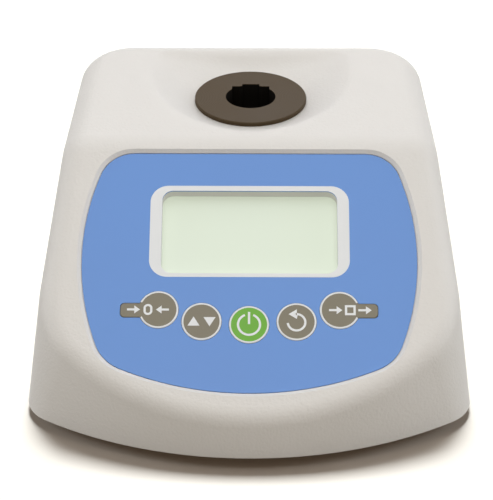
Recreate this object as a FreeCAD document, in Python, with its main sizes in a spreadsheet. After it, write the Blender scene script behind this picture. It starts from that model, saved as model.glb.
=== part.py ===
import FreeCAD, Part
import Sketcher
import math
import os

# A portable turbidity meter. A drafted wedge housing carries a sloping panel with a display and
# five keys, and a round sample well stands in a scooped dish at the rear of its top.
#
# Part frame: +Z up, the feet stand on Z = 0, -Y is the front, the middle of the plan is X = Y = 0.
# Case frame: the same directions, its origin at the middle of the housing's front bottom edge.
# Panel frame: X to the right, Y up the slope, Z out of the panel; its origin lies on the keypad
# overlay's outer face, on the middle line between the keys.
# Well frame: its origin lies on the floor of the dish, on the axis of the sample well.

SIZES = (
    # Housing plan at its bottom edge
    ("case_depth", 152.0),
    ("case_half_width", 71.3),
    ("widest_station", 28.0),
    ("front_sweep", 33.2),
    ("side_taper", 3.0),
    ("front_corner_radius", 14.0),
    ("back_corner_radius", 18.0),
    # Housing form above it
    ("form_height", 84.0),
    ("front_draft", 7.0),
    ("side_draft", 6.4),
    ("back_draft", 5.6),
    ("upper_corner_radius", 44.0),
    ("panel_nose_height", 13.0),
    ("panel_length", 96.854),
    ("crown_slope", 4.5),
    ("crown_station", 100.0),
    ("crown_height", 69.3),
    ("brow_radius", 14.0),
    ("rim_radius", 8.0),
    ("wall", 2.5),
    ("ledge_wall", 1.6),
    ("foot_height", 3.0),
    # Dish and sample well
    ("well_station", 108.5),
    ("dish_floor_drop", 1.3),
    ("dish_floor_radius", 20.3),
    ("dish_slope", 10.5),
    ("dish_depth", 12.0),
    ("dish_back_slope", 34.0),
    ("dish_back_gap", 2.0),
    ("dish_blend_radius", 12.0),
    ("dish_rim_radius", 6.0),
    ("flange_radius", 18.75),
    ("flange_thickness", 1.4),
    ("flange_chamfer", 0.3),
    ("well_outer_radius", 12.9),
    ("well_hole_gap", 0.3),
    ("well_foot_height", 6.0),
    ("well_floor", 6.0),
    ("tube_bore_radius", 8.4),
    ("cuvette_width", 12.7),
    ("cuvette_back", 7.5),
    ("keyway_width", 5.8),
    ("keyway_back", 9.1),
    ("light_path_rise", 10.0),
    ("light_path_radius", 2.6),
    ("gasket_inner_radius", 13.6),
    ("gasket_outer_radius", 17.0),
    ("gasket_thickness", 0.6),
    ("nut_radius", 17.5),
    ("nut_thickness", 4.0),
    ("nut_slot", 3.2),
    ("thread_gap", 0.05),
    ("pad_radius", 6.0),
    ("pad_thickness", 2.0),
    ("pad_gap", 0.1),
    ("spring_width", 4.6),
    ("spring_thickness", 0.3),
    ("spring_length", 40.0),
    ("spring_top_drop", 8.0),
    # Collar with the lamp and the detector
    ("collar_width", 34.0),
    ("collar_depth", 30.0),
    ("collar_height", 18.0),
    ("collar_gap", 0.1),
    ("lamp_radius", 2.5),
    ("lamp_tip", 10.2),
    ("optics_board_width", 22.0),
    ("optics_screw_spacing", 15.0),
    # Panel, overlay and window
    ("panel_run", 34.2),
    ("lip_drop", 1.0),
    ("lip_run", 1.45),
    ("overlay_thickness", 0.6),
    ("overlay_gap", 0.25),
    ("panel_wall", 2.2),
    ("overlay_top", 58.7),
    ("overlay_bottom", 23.56),
    ("overlay_half_width", 53.3),
    ("overlay_widest", 22.0),
    ("overlay_side_radius", 85.0),
    ("overlay_bottom_radius", 106.0),
    ("overlay_top_corner", 11.5),
    ("overlay_bottom_corner", 14.0),
    ("window_centre", 31.0),
    ("window_width", 56.3),
    ("window_height", 28.85),
    ("window_corner", 3.5),
    ("window_rim", 2.0),
    # Keys and their switches
    ("key_radius", 6.27),
    ("key_gap", 0.12),
    ("key_proud", 0.15),
    ("key_flange_radius", 7.0),
    ("key_flange_thickness", 0.8),
    ("key_rest_gap", 0.1),
    ("key_stem_radius", 2.0),
    ("key_crown_radius", 0.25),
    ("outer_key_side", 28.5),
    ("outer_key_rise", 4.07),
    ("inner_key_side", 14.9),
    ("inner_key_rise", 0.13),
    ("middle_key_rise", -0.88),
    ("tab_reach", 12.0),
    ("tab_height", 4.75),
    ("tab_drop", 0.2),
    ("tab_corner", 1.4),
    ("switch_width", 6.0),
    ("switch_height", 3.5),
    ("plunger_radius", 1.7),
    ("plunger_gap", 0.1),
    ("plunger_rise", 0.8),
    ("plunger_sink", 1.2),
    # Display module and the boards behind the panel
    ("glass_depth", 4.6),
    ("bezel_width", 66.0),
    ("bezel_height", 38.0),
    ("bezel_sheet", 0.4),
    ("bezel_border", 3.0),
    ("bezel_depth", 4.8),
    ("glass_thickness", 2.4),
    ("board_thickness", 1.6),
    ("display_board_width", 80.0),
    ("display_board_height", 44.0),
    ("display_screw_x", 36.5),
    ("display_screw_y", 18.5),
    ("switch_board_width", 82.0),
    ("switch_board_top", 8.0),
    ("switch_board_bottom", 14.0),
    ("switch_screw_x", 37.0),
    ("switch_screw_drop", 5.5),
    ("middle_screw_drop", 11.0),
    ("panel_boss_radius", 2.4),
    # Base plate, battery bay and door
    ("plate_rise", 0.3),
    ("plate_thickness", 2.5),
    ("plate_gap", 0.3),
    ("bay_station", 65.0),
    ("bay_width", 57.0),
    ("bay_depth", 45.0),
    ("bay_ceiling", 18.2),
    ("bay_wall", 1.8),
    ("door_thickness", 2.0),
    ("door_lap", 1.5),
    ("door_gap", 0.3),
    ("hinge_radius", 1.6),
    ("hinge_pin_radius", 0.8),
    ("hinge_pin_length", 2.2),
    ("hinge_running_gap", 0.05),
    ("hinge_room", 0.35),
    ("hinge_cheek", 4.0),
    ("hinge_housing_depth", 9.0),
    ("grip_width", 16.0),
    ("grip_depth", 5.0),
    ("grip_corner", 2.0),
    ("grip_inset", 6.0),
    ("locator_rise", 3.0),
    ("cell_radius", 7.15),
    ("cell_length", 49.2),
    ("cell_pitch", 14.8),
    ("cell_height", 10.4),
    ("nub_radius", 2.75),
    ("nub_length", 1.0),
    ("contact_thickness", 0.4),
    ("contact_width", 10.0),
    # Feet, case screws and main board
    ("foot_radius", 6.35),
    ("foot_base_radius", 5.7),
    ("foot_socket", 0.8),
    ("front_foot_x", 44.0),
    ("front_foot_station", 24.0),
    ("back_foot_x", 46.0),
    ("back_foot_inset", 18.0),
    ("case_boss_radius", 4.0),
    ("case_screw_radius", 1.5),
    ("case_screw_head_radius", 2.9),
    ("case_screw_length", 12.0),
    ("front_screw_x", 58.0),
    ("front_screw_station", 36.0),
    ("back_screw_x", 53.0),
    ("back_screw_inset", 34.0),
    ("screw_gap", 0.2),
    ("main_board_height", 22.0),
    ("main_board_width", 96.0),
    ("main_board_front", 44.0),
    ("main_board_back", 91.0),
    ("main_post_x", 43.0),
    ("post_radius", 3.0),
    ("post_inset", 4.0),
    ("small_screw_radius", 1.1),
    ("small_head_radius", 2.1),
    ("small_head_height", 1.4),
    ("small_screw_length", 7.0),
    ("chip_width", 12.0),
    ("chip_height", 1.5),
    ("chip_x", 8.0),
    ("can_radius", 3.2),
    ("can_height", 5.4),
    ("can_x", 20.0),
    ("can_pitch", 9.0),
    ("can_offset", 12.0),
    ("plug_x", 22.0),
    ("plug_width", 18.0),
    ("plug_depth", 5.0),
    ("plug_height", 5.5),
    ("plug_edge", 4.0),
    ("ribbon_width", 16.0),
    ("ribbon_thickness", 0.5),
    ("ribbon_rise", 7.0),
    ("ribbon_end", 14.0),
    # Power inlet
    ("inlet_x", 33.0),
    ("inlet_height", 12.0),
    ("inlet_radius", 3.15),
    ("inlet_pin_radius", 1.0),
    ("inlet_depth", 9.5),
    ("inlet_nose_radius", 4.4),
    ("inlet_nose_setback", 1.0),
    ("inlet_pin_setback", 0.5),
    ("inlet_width", 10.0),
    ("inlet_body_depth", 13.0),
    ("inlet_body_height", 11.0),
    ("power_board_width", 26.0),
    ("power_board_depth", 28.0),
)

# Sizes that follow from others: the panel rises from the nose to the crown at the slope that its
# length gives, and the dish and the well hang from the crown.
DERIVED = (
    ("brow_rise", "=crown_height - crown_station * tan(crown_slope) - panel_nose_height"),
    ("panel_slope", "=crown_slope + asin(brow_rise * cos(crown_slope) / panel_length) / 1 deg"),
    ("dish_floor_height", "=crown_height - dish_floor_drop"),
    ("well_length", "=dish_floor_height - well_foot_height"),
    ("well_depth", "=well_length - well_floor"),
    ("light_path_drop", "=well_depth - light_path_rise"),
    ("back_foot_station", "=case_depth - back_foot_inset"),
    ("back_screw_station", "=case_depth - back_screw_inset"),
)

document = FreeCAD.newDocument("turbidity_meter")
sizes = document.addObject("Spreadsheet::Sheet", "sizes")
for row, (alias, number) in enumerate(SIZES + DERIVED, start=1):
    sizes.set("A%d" % row, alias)
    sizes.set("B%d" % row, str(number))
    sizes.setAlias("B%d" % row, alias)
document.recompute()

Vector = FreeCAD.Vector
UP = Vector(0, 0, 1)
ALONG_X = FreeCAD.Rotation(Vector(0, 1, 0), 90)
ALONG_Y = FreeCAD.Rotation(Vector(1, 0, 0), -90)
ALONG_Z_UP = FreeCAD.Rotation(Vector(1, 0, 0), 90)
SEAM_IN_FRONT = FreeCAD.Rotation(Vector(0, 0, 1), -90)
SIDES = (-1, 1)
sub_parts = []


# Document objects

def bind(item, bindings):
    """Tie properties of an object to cells of the sheet."""
    for path, expression in bindings.items():
        item.setExpression(path, expression)


def place(item, x="0", y="0", z="0"):
    """Tie an object's place to cells of the sheet."""
    bind(item, {"Placement.Base.x": x, "Placement.Base.y": y, "Placement.Base.z": z})
    return item


def box(name, width, depth, height, x="0", y="0", z="0"):
    """A box centred on x and y that stands on z."""
    item = document.addObject("Part::Box", name)
    bind(item, {"Length": width, "Width": depth, "Height": height})
    return place(item, "%s - (%s) / 2" % (x, width), "%s - (%s) / 2" % (y, depth), z)


def cylinder(name, radius, height, x="0", y="0", z="0", turn=None):
    """An upright cylinder that stands on x, y, z, or one turned to lie along another axis."""
    item = document.addObject("Part::Cylinder", name)
    bind(item, {"Radius": radius, "Height": height})
    if turn is not None:
        item.Placement = FreeCAD.Placement(Vector(), turn)
    return place(item, x, y, z)


def cone(name, low_radius, high_radius, height, x="0", y="0", z="0"):
    """An upright cone frustum that stands on x, y, z."""
    item = document.addObject("Part::Cone", name)
    bind(item, {"Radius1": low_radius, "Radius2": high_radius, "Height": height})
    return place(item, x, y, z)


def fuse(name, pieces):
    """Several objects made one."""
    item = document.addObject("Part::MultiFuse", name)
    item.Shapes = pieces
    return item


def common(name, pieces):
    """What several objects share."""
    item = document.addObject("Part::MultiCommon", name)
    item.Shapes = pieces
    return item


def cut(name, base, tools):
    """One object less several others."""
    item = document.addObject("Part::Cut", name)
    item.Base = base
    item.Tool = tools[0] if len(tools) == 1 else group(name + "_tools", tools)
    return item


def group(name, pieces):
    """Several separate objects kept together."""
    item = document.addObject("Part::Compound", name)
    item.Links = pieces
    return item


def fillet(name, base, chosen, radius):
    """Round the edges of an object that the function chosen picks."""
    document.recompute()
    picks = [number for number, edge in enumerate(base.Shape.Edges, start=1) if chosen(base.Shape, edge)]
    item = document.addObject("Part::Fillet", name)
    item.Base = base
    item.Edges = [(number, radius, radius) for number in picks]
    return item


def upright_edges(shape, edge):
    """Whether an edge stands along Z."""
    ends = [vertex.Point for vertex in edge.Vertexes]
    return len(ends) == 2 and abs((ends[1] - ends[0]).normalize().z) > 0.999


def rounded_box(name, width, depth, height, corner, x="0", y="0", z="0"):
    """A box with its four upright edges rounded."""
    block = box(name + "_block", width, depth, height, x, y, z)
    return fillet(name, block, upright_edges, corner)


def sketch(name, curves, z="0", radii=()):
    """A sketch of joined curves parallel to XY, with the radii of some arcs tied to the sheet."""
    item = document.addObject("Sketcher::SketchObject", name)
    item.addGeometry(curves, False)
    join_curves(item, len(curves))
    for index, expression in radii:
        tie_radius(item, curves, index, expression)
    return place(item, z=z)


def join_curves(item, count):
    """Join the end of each curve of a closed sketch to the start of the next."""
    for index in range(count):
        item.addConstraint(Sketcher.Constraint("Coincident", index, 2, (index + 1) % count, 1))


def tie_radius(item, curves, index, expression):
    """Tie the radius of one arc of a sketch to the sheet."""
    rule = item.addConstraint(Sketcher.Constraint("Radius", index, curves[index].Radius))
    item.setExpression("Constraints[%d]" % rule, expression)


def extrude(name, base, height):
    """A sketch pushed along Z into a solid."""
    item = document.addObject("Part::Extrusion", name)
    item.Base = base
    item.DirMode = "Custom"
    item.Dir = UP
    item.Solid = True
    bind(item, {"LengthFwd": height})
    return item


def loft(name, sections):
    """A solid with ruled walls between sketches."""
    item = document.addObject("Part::Loft", name)
    item.Sections = sections
    item.Solid = True
    item.Ruled = True
    return item


def arc(centre, radius, start, end):
    """An arc of a circle in a sketch, from one angle round to another, in degrees."""
    circle = Part.Circle(Vector(centre[0], centre[1], 0), UP, radius)
    return Part.ArcOfCircle(circle, math.radians(start), math.radians(end))


def line(start, end):
    """A straight line in a sketch."""
    return Part.LineSegment(Vector(start[0], start[1], 0), Vector(end[0], end[1], 0))


def polygon(points):
    """Straight lines that close round the points."""
    return [line(points[index], points[(index + 1) % len(points)]) for index in range(len(points))]


def sub_part(node, item, frame=None):
    """Name a finished sub-part after its node and set it in its frame."""
    item.Label = node
    if frame is not None:
        item.setExpression("Placement", frame)
    sub_parts.append((node, item))


CASE = "case_frame.Placement"
PANEL = "case_frame.Placement * panel_frame.Placement"
WELL = "case_frame.Placement * well_frame.Placement"


# Frames

def make_frames():
    """The case frame in the part frame, and the panel and well frames in the case frame."""
    case = document.addObject("Part::Vertex", "case_frame")
    place(case, y="-sizes.case_depth / 2", z="sizes.foot_height")
    panel = document.addObject("Part::Vertex", "panel_frame")
    panel.Placement = FreeCAD.Placement(Vector(), FreeCAD.Rotation(Vector(1, 0, 0), sizes.panel_slope))
    bind(panel, {"Placement.Rotation.Angle": "sizes.panel_slope"})
    run = "sizes.panel_run * %s(sizes.panel_slope)"
    drop = "sizes.lip_drop * %s(sizes.panel_slope)"
    place(panel, y="%s + %s" % (run % "cos", drop % "sin"),
          z="sizes.panel_nose_height + %s - %s" % (run % "sin", drop % "cos"))
    well = document.addObject("Part::Vertex", "well_frame")
    place(well, y="sizes.well_station", z="sizes.dish_floor_height")


def in_case(item, frame):
    """Set a tool that is drawn in the panel or well frame into the case frame."""
    item.setExpression("Placement", frame + ".Placement")
    return item


# Housing

def plan_outline(rise, inset, corner_radius):
    """The housing's plan at one height: a swept front, tight corners and sides that taper back."""
    taper = math.radians(sizes.side_taper)
    sweep = math.radians(sizes.front_sweep)
    front = rise * math.tan(math.radians(sizes.front_draft)) + inset
    back = sizes.case_depth - rise * math.tan(math.radians(sizes.back_draft)) - inset
    half_width = sizes.case_half_width - rise * math.tan(math.radians(sizes.side_draft)) - inset
    corner = corner_radius - inset
    back_corner = sizes.back_corner_radius - inset
    reach = corner * math.sin(sweep) * math.cos(taper) + half_width * math.cos(taper) - corner
    fall = (front + corner * math.cos(sweep) - sizes.widest_station) * math.sin(taper)
    spread = math.sin(sweep) * math.cos(taper) + (1 - math.cos(sweep)) * math.sin(taper)
    nose = (reach - fall) / spread
    corner_x = (nose - corner) * math.sin(sweep)
    corner_y = front + nose - (nose - corner) * math.cos(sweep)
    back_y = back - back_corner
    side_reach = (back_y - sizes.widest_station) * math.sin(taper) + back_corner
    back_x = half_width - side_reach / math.cos(taper)
    side_start = (corner_x + corner * math.cos(taper), corner_y + corner * math.sin(taper))
    side_end = (back_x + back_corner * math.cos(taper), back_y + back_corner * math.sin(taper))
    turn = sizes.front_sweep
    lean = sizes.side_taper
    return [
        arc((0, front + nose), nose, 270 - turn, 270 + turn),
        arc((corner_x, corner_y), corner, turn - 90, lean),
        line(side_start, side_end),
        arc((back_x, back_y), back_corner, lean, 90),
        line((back_x, back), (-back_x, back)),
        arc((-back_x, back_y), back_corner, 90, 180 - lean),
        line((-side_end[0], side_end[1]), (-side_start[0], side_start[1])),
        arc((-corner_x, corner_y), corner, 180 - lean, 270 - turn),
    ]


def plan_sketch(name, rise, inset, corner, height):
    """A sketch of the housing's plan with its corner radii tied to the sheet."""
    curves = plan_outline(rise, inset, getattr(sizes, corner))
    front_corner = "sizes.%s - %s" % (corner, inset)
    back_corner = "sizes.back_corner_radius - %s" % inset
    radii = ((1, front_corner), (3, back_corner), (5, back_corner), (7, front_corner))
    return sketch(name, curves, height, radii)


def side_profile(panel_drop, crown_drop, brow_radius):
    """The housing's side view above which all is cut away: panel, brow and crown."""
    slope = math.radians(sizes.panel_slope)
    crown = math.radians(sizes.crown_slope)
    panel_start = sizes.panel_nose_height - panel_drop / math.cos(slope)
    crown_rise = sizes.crown_height - crown_drop / math.cos(crown)
    crown_start = crown_rise - sizes.crown_station * math.tan(crown)
    brow_y = (crown_start - panel_start) / (math.tan(slope) - math.tan(crown))
    brow_z = panel_start + brow_y * math.tan(slope)
    reach = brow_radius * math.tan((slope - crown) / 2)
    low = (brow_y - reach * math.cos(slope), brow_z - reach * math.sin(slope))
    high = (brow_y + reach * math.cos(crown), brow_z + reach * math.sin(crown))
    centre = (low[0] + brow_radius * math.sin(slope), low[1] - brow_radius * math.cos(slope))
    far = sizes.case_depth + sizes.wall
    front = (-far, panel_start - far * math.tan(slope))
    back = (far, high[1] + (far - high[0]) * math.tan(crown))
    floor = front[1] - far
    return [
        line(front, low),
        arc(centre, brow_radius, 90 + sizes.crown_slope, 90 + sizes.panel_slope),
        line(high, back),
        line(back, (far, floor)),
        line((far, floor), (-far, floor)),
        line((-far, floor), front),
    ]


def case_form(name, inset, panel_drop, crown_drop):
    """The housing's drafted form, cut to the side profile."""
    low = plan_sketch(name + "_low_plan", 0, inset, "front_corner_radius", "0")
    high = plan_sketch(name + "_high_plan", sizes.form_height, inset, "upper_corner_radius",
                       "sizes.form_height")
    walls = loft(name + "_walls", [low, high])
    profile = document.addObject("Sketcher::SketchObject", name + "_side_view")
    profile.addGeometry(side_profile(panel_drop, crown_drop, sizes.brow_radius - inset), False)
    profile.Placement = FreeCAD.Placement(Vector(), FreeCAD.Rotation(UP, 90) * ALONG_Z_UP)
    slab = document.addObject("Part::Extrusion", name + "_side_slab")
    slab.Base = profile
    slab.DirMode = "Custom"
    slab.Dir = Vector(1, 0, 0)
    slab.Solid = True
    slab.Symmetric = True
    bind(slab, {"LengthFwd": "3 * sizes.case_half_width"})
    form = common(name + "_form", [walls, slab])
    return fillet(name, form, top_rim, sizes.rim_radius - inset)


def faces_beside(shape, edge):
    """The faces that meet in an edge."""
    return [face for face in shape.Faces if any(edge.isSame(side) for side in face.Edges)]


def middle_of(edge):
    """The point half way along an edge."""
    return edge.valueAt((edge.FirstParameter + edge.LastParameter) / 2)


def looks_up(face):
    """Whether a face's middle looks more up than sideways."""
    u_low, u_high, v_low, v_high = face.ParameterRange
    return face.normalAt((u_low + u_high) / 2, (v_low + v_high) / 2).z > 0.6


def top_rim(shape, edge):
    """Whether an edge parts the top of the form from its walls."""
    return sum(looks_up(face) for face in faces_beside(shape, edge)) == 1


def dish_tool(name, grow):
    """What scoops the dish: a shallow cone round the well, stopped by a steeper back slope."""
    floor = "sizes.dish_floor_height - %s" % grow
    radius = "(sizes.dish_floor_radius + %s)" % grow
    height = "(sizes.dish_depth + %s)" % grow
    scoop = document.addObject("Part::Cone", name + "_scoop")
    scoop.Placement = FreeCAD.Placement(Vector(), SEAM_IN_FRONT)
    bind(scoop, {"Radius1": radius, "Radius2": "%s + %s / tan(sizes.dish_slope)" % (radius, height),
                 "Height": height})
    place(scoop, y="sizes.well_station", z=floor)
    back = document.addObject("Part::Box", name + "_back")
    back.Placement = FreeCAD.Placement(Vector(), FreeCAD.Rotation(Vector(1, 0, 0), sizes.dish_back_slope))
    reach = "2 * sizes.case_depth"
    bind(back, {"Length": reach, "Width": reach, "Height": reach,
                "Placement.Rotation.Angle": "sizes.dish_back_slope"})
    start = "sizes.well_station + %s + sizes.dish_back_gap" % radius
    place(back, "-sizes.case_depth", "%s - 1.5 * sizes.case_depth * cos(sizes.dish_back_slope)" % start,
          "%s - 1.5 * sizes.case_depth * sin(sizes.dish_back_slope)" % floor)
    block = common(name + "_block", [scoop, back])
    blended = fillet(name + "_blended", block, back_valley, sizes.dish_blend_radius)
    return fillet(name, blended, dish_foot, sizes.dish_blend_radius)


def back_valley(shape, edge):
    """Whether an edge parts the dish's cone from its back slope."""
    kinds = sorted(face.Surface.TypeId for face in faces_beside(shape, edge))
    level = abs(edge.BoundBox.ZLength) < 0.001
    return kinds == ["Part::GeomCone", "Part::GeomPlane"] and not level


def dish_foot(shape, edge):
    """Whether an edge goes round the dish's floor."""
    on_floor = edge.BoundBox.ZMax < shape.BoundBox.ZMin + 0.001
    return on_floor and edge.BoundBox.ZLength < 0.001


def on_skin(shape, point):
    """Whether a point lies on a solid's surface."""
    skin = Part.Compound(shape.Faces)
    return Part.Vertex(point).distToShape(skin)[0] < 0.001


def overlay_curves(grow):
    """The keypad overlay's outline: a straight top, bowed sides and a bowed bottom."""
    side_radius = sizes.overlay_side_radius + grow
    bottom_radius = sizes.overlay_bottom_radius + grow
    top_corner = sizes.overlay_top_corner + grow
    bottom_corner = sizes.overlay_bottom_corner + grow
    top = sizes.overlay_top + grow
    side_x = sizes.overlay_half_width - sizes.overlay_side_radius
    side_y = sizes.overlay_widest
    bottom_y = sizes.overlay_bottom_radius - sizes.overlay_bottom
    high_y = top - top_corner
    high_x = side_x + math.sqrt((side_radius - top_corner) ** 2 - (high_y - side_y) ** 2)
    high_angle = math.degrees(math.atan2(high_y - side_y, high_x - side_x))
    low = crossing((side_x, side_y), side_radius - bottom_corner, (0, bottom_y), bottom_radius - bottom_corner)
    side_angle = math.degrees(math.atan2(low[1] - side_y, low[0] - side_x))
    low_angle = math.degrees(math.atan2(low[1] - bottom_y, low[0]))
    return [
        line((high_x, top), (-high_x, top)),
        arc((-high_x, high_y), top_corner, 90, 180 - high_angle),
        arc((-side_x, side_y), side_radius, 180 - high_angle, 180 - side_angle),
        arc((-low[0], low[1]), bottom_corner, 180 - side_angle, 180 - low_angle),
        arc((0, bottom_y), bottom_radius, 180 - low_angle, 360 + low_angle),
        arc(low, bottom_corner, low_angle, side_angle),
        arc((side_x, side_y), side_radius, side_angle, high_angle),
        arc((high_x, high_y), top_corner, high_angle, 90),
    ]


def crossing(first, first_radius, second, second_radius):
    """The lower right crossing of two circles."""
    apart = math.hypot(second[0] - first[0], second[1] - first[1])
    along = (first_radius ** 2 - second_radius ** 2 + apart ** 2) / (2 * apart)
    aside = math.sqrt(first_radius ** 2 - along ** 2)
    step = ((second[0] - first[0]) / apart, (second[1] - first[1]) / apart)
    return (first[0] + along * step[0] + aside * step[1], first[1] + along * step[1] - aside * step[0])


def overlay_sketch(name, grow, growth, z):
    """A sketch of the overlay's outline, grown all round, with its radii tied to the sheet."""
    radii = (
        (1, "sizes.overlay_top_corner + %s" % growth),
        (2, "sizes.overlay_side_radius + %s" % growth),
        (3, "sizes.overlay_bottom_corner + %s" % growth),
        (4, "sizes.overlay_bottom_radius + %s" % growth),
    )
    return sketch(name, overlay_curves(grow), z, radii)


def key_places():
    """Name, side and centre of each key, from left to right; a side of 0 has no tab."""
    return (
        ("left_outer", -1, "-sizes.outer_key_side", "sizes.outer_key_rise"),
        ("left_inner", 0, "-sizes.inner_key_side", "sizes.inner_key_rise"),
        ("power", 0, "0", "sizes.middle_key_rise"),
        ("right_inner", 0, "sizes.inner_key_side", "sizes.inner_key_rise"),
        ("right_outer", 1, "sizes.outer_key_side", "sizes.outer_key_rise"),
    )


def key_outline(name, side, x, y, gap, low, height):
    """A key's round cap, with a tab on its outer side if it has one."""
    disc = cylinder(name + "_disc", "sizes.key_radius + %s" % gap, height, x, y, low)
    if side == 0:
        return disc
    tab = rounded_box(name + "_tab", "sizes.tab_reach + %s" % gap, "sizes.tab_height + 2 * %s" % gap, height,
                      sizes.tab_corner, "%s + %d * (sizes.tab_reach + %s) / 2" % (x, side, gap),
                      "%s - sizes.tab_drop" % y, low)
    return fuse(name + "_outline", [disc, tab])


def panel_screw_places():
    """Where screws hold the display board and the switch board to the panel."""
    display = [("%d * sizes.display_screw_x" % side, "sizes.window_centre + %d * sizes.display_screw_y" % end)
               for side in SIDES for end in SIDES]
    switches = [("%d * sizes.switch_screw_x" % side, "-sizes.switch_screw_drop") for side in SIDES]
    return display, switches + [("0", "-sizes.middle_screw_drop")]


def case_screw_places():
    """Where screws hold the base plate to the housing."""
    front = [("%d * sizes.front_screw_x" % side, "sizes.front_screw_station") for side in SIDES]
    back = [("%d * sizes.back_screw_x" % side, "sizes.back_screw_station") for side in SIDES]
    return front + back


BOARD_FACE = "(sizes.glass_depth - sizes.bezel_sheet + sizes.bezel_depth)"
PANEL_SKIN = "(sizes.overlay_thickness + sizes.panel_wall)"
PLATE_TOP = "(sizes.plate_rise + sizes.plate_thickness)"


def make_housing():
    """The moulded upper housing: drafted shell, scooped dish, panel recess and bosses."""
    outside = case_form("outside", 0, 0, 0)
    dish = dish_tool("dish", "0")
    dished = cut("dished", outside, [dish])
    document.recompute()

    def dish_rim(shape, edge):
        point = middle_of(edge)
        return on_skin(dish.Shape, point) and on_skin(outside.Shape, point)

    skin = fillet("skin", dished, dish_rim, sizes.dish_rim_radius)
    panel_drop = sizes.lip_drop + sizes.overlay_thickness + sizes.panel_wall
    inside = case_form("inside", sizes.wall, panel_drop, sizes.wall)
    kept = [dish_tool("dish_wall", "sizes.wall")]
    display_screws, switch_screws = panel_screw_places()
    for number, (x, y) in enumerate(display_screws + switch_screws, start=1):
        boss = cylinder("panel_boss_%d" % number, "sizes.panel_boss_radius",
                        BOARD_FACE, x, y, "-" + BOARD_FACE)
        kept.append(in_case(group("panel_boss_place_%d" % number, [boss]), "panel_frame"))
    for number, (x, y) in enumerate(case_screw_places(), start=1):
        kept.append(cylinder("case_boss_%d" % number, "sizes.case_boss_radius", "sizes.crown_height",
                             x, y, PLATE_TOP))
    rim = rounded_box("window_rim_block", "sizes.window_width + 2 * sizes.window_rim",
                      "sizes.window_height + 2 * sizes.window_rim", "sizes.glass_depth - sizes.bezel_sheet",
                      sizes.window_corner, "0", "sizes.window_centre",
                      "-(sizes.glass_depth - sizes.bezel_sheet)")
    kept.append(in_case(group("window_rim_place", [rim]), "panel_frame"))
    cavity = cut("cavity", inside, kept)

    ledge_plan = sketch("ledge_plan", plan_outline(0, sizes.ledge_wall, sizes.front_corner_radius),
                        "-sizes.wall")
    ledge = extrude("ledge", ledge_plan, "sizes.wall + " + PLATE_TOP)
    tools = [cavity, ledge]
    tools.append(in_case(group("panel_tools", panel_tools(display_screws + switch_screws)), "panel_frame"))
    tools.append(cylinder("well_hole", "sizes.well_outer_radius + sizes.well_hole_gap", "2 * sizes.dish_depth",
                          y="sizes.well_station", z="sizes.dish_floor_height - sizes.dish_depth"))
    tools.append(cylinder("inlet_hole", "sizes.inlet_nose_radius + sizes.well_hole_gap", "sizes.dish_depth",
                          "sizes.inlet_x", "sizes.case_depth - sizes.dish_depth + sizes.wall",
                          "sizes.inlet_height", ALONG_Y))
    for number, (x, y) in enumerate(case_screw_places(), start=1):
        tools.append(cylinder("case_pilot_%d" % number, "sizes.case_screw_radius", "sizes.case_screw_length",
                              x, y, "sizes.plate_rise"))
    sub_part("upper_housing", cut("upper_housing", skin, tools), CASE)


def panel_tools(screws):
    """What is cut out of the sloping panel: recess, window, key holes and screw pilots."""
    rise = "2 * sizes.lip_drop"
    flare = "(sizes.overlay_gap + 2 * (sizes.lip_run - sizes.overlay_gap))"
    flare_size = sizes.overlay_gap + 2 * (sizes.lip_run - sizes.overlay_gap)
    foot = overlay_sketch("recess_foot", sizes.overlay_gap, "sizes.overlay_gap", "0")
    mouth = overlay_sketch("recess_mouth", flare_size, flare, rise)
    seat = overlay_sketch("recess_seat", sizes.overlay_gap, "sizes.overlay_gap", "-sizes.overlay_thickness")
    tools = [
        loft("recess_chamfer", [foot, mouth]),
        extrude("recess", seat, "sizes.overlay_thickness"),
        rounded_box("shell_window", "sizes.window_width", "sizes.window_height", "2 * sizes.glass_depth",
                    sizes.window_corner, "0", "sizes.window_centre", "-2 * sizes.glass_depth"),
    ]
    for name, side, x, y in key_places():
        tools.append(key_outline(name + "_hole", side, x, y, "sizes.key_gap",
                                 "-2 * " + PANEL_SKIN, "2 * " + PANEL_SKIN))
    for number, (x, y) in enumerate(screws, start=1):
        tools.append(cylinder("panel_pilot_%d" % number, "sizes.small_screw_radius",
                              "sizes.small_screw_length", x, y, "-" + BOARD_FACE))
    return tools


# Keypad and display

def make_overlay():
    """The keypad overlay with its window and key holes."""
    outline = overlay_sketch("overlay_outline", 0, "0", "-sizes.overlay_thickness")
    sheet = extrude("overlay_sheet", outline, "sizes.overlay_thickness")
    tools = [rounded_box("overlay_window", "sizes.window_width", "sizes.window_height",
                         "3 * sizes.overlay_thickness", sizes.window_corner, "0", "sizes.window_centre",
                         "-2 * sizes.overlay_thickness")]
    for name, side, x, y in key_places():
        tools.append(key_outline(name + "_opening", side, x, y, "sizes.key_gap",
                                 "-2 * sizes.overlay_thickness", "3 * sizes.overlay_thickness"))
    sub_part("keypad_overlay", cut("keypad_overlay", sheet, tools), PANEL)


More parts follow.
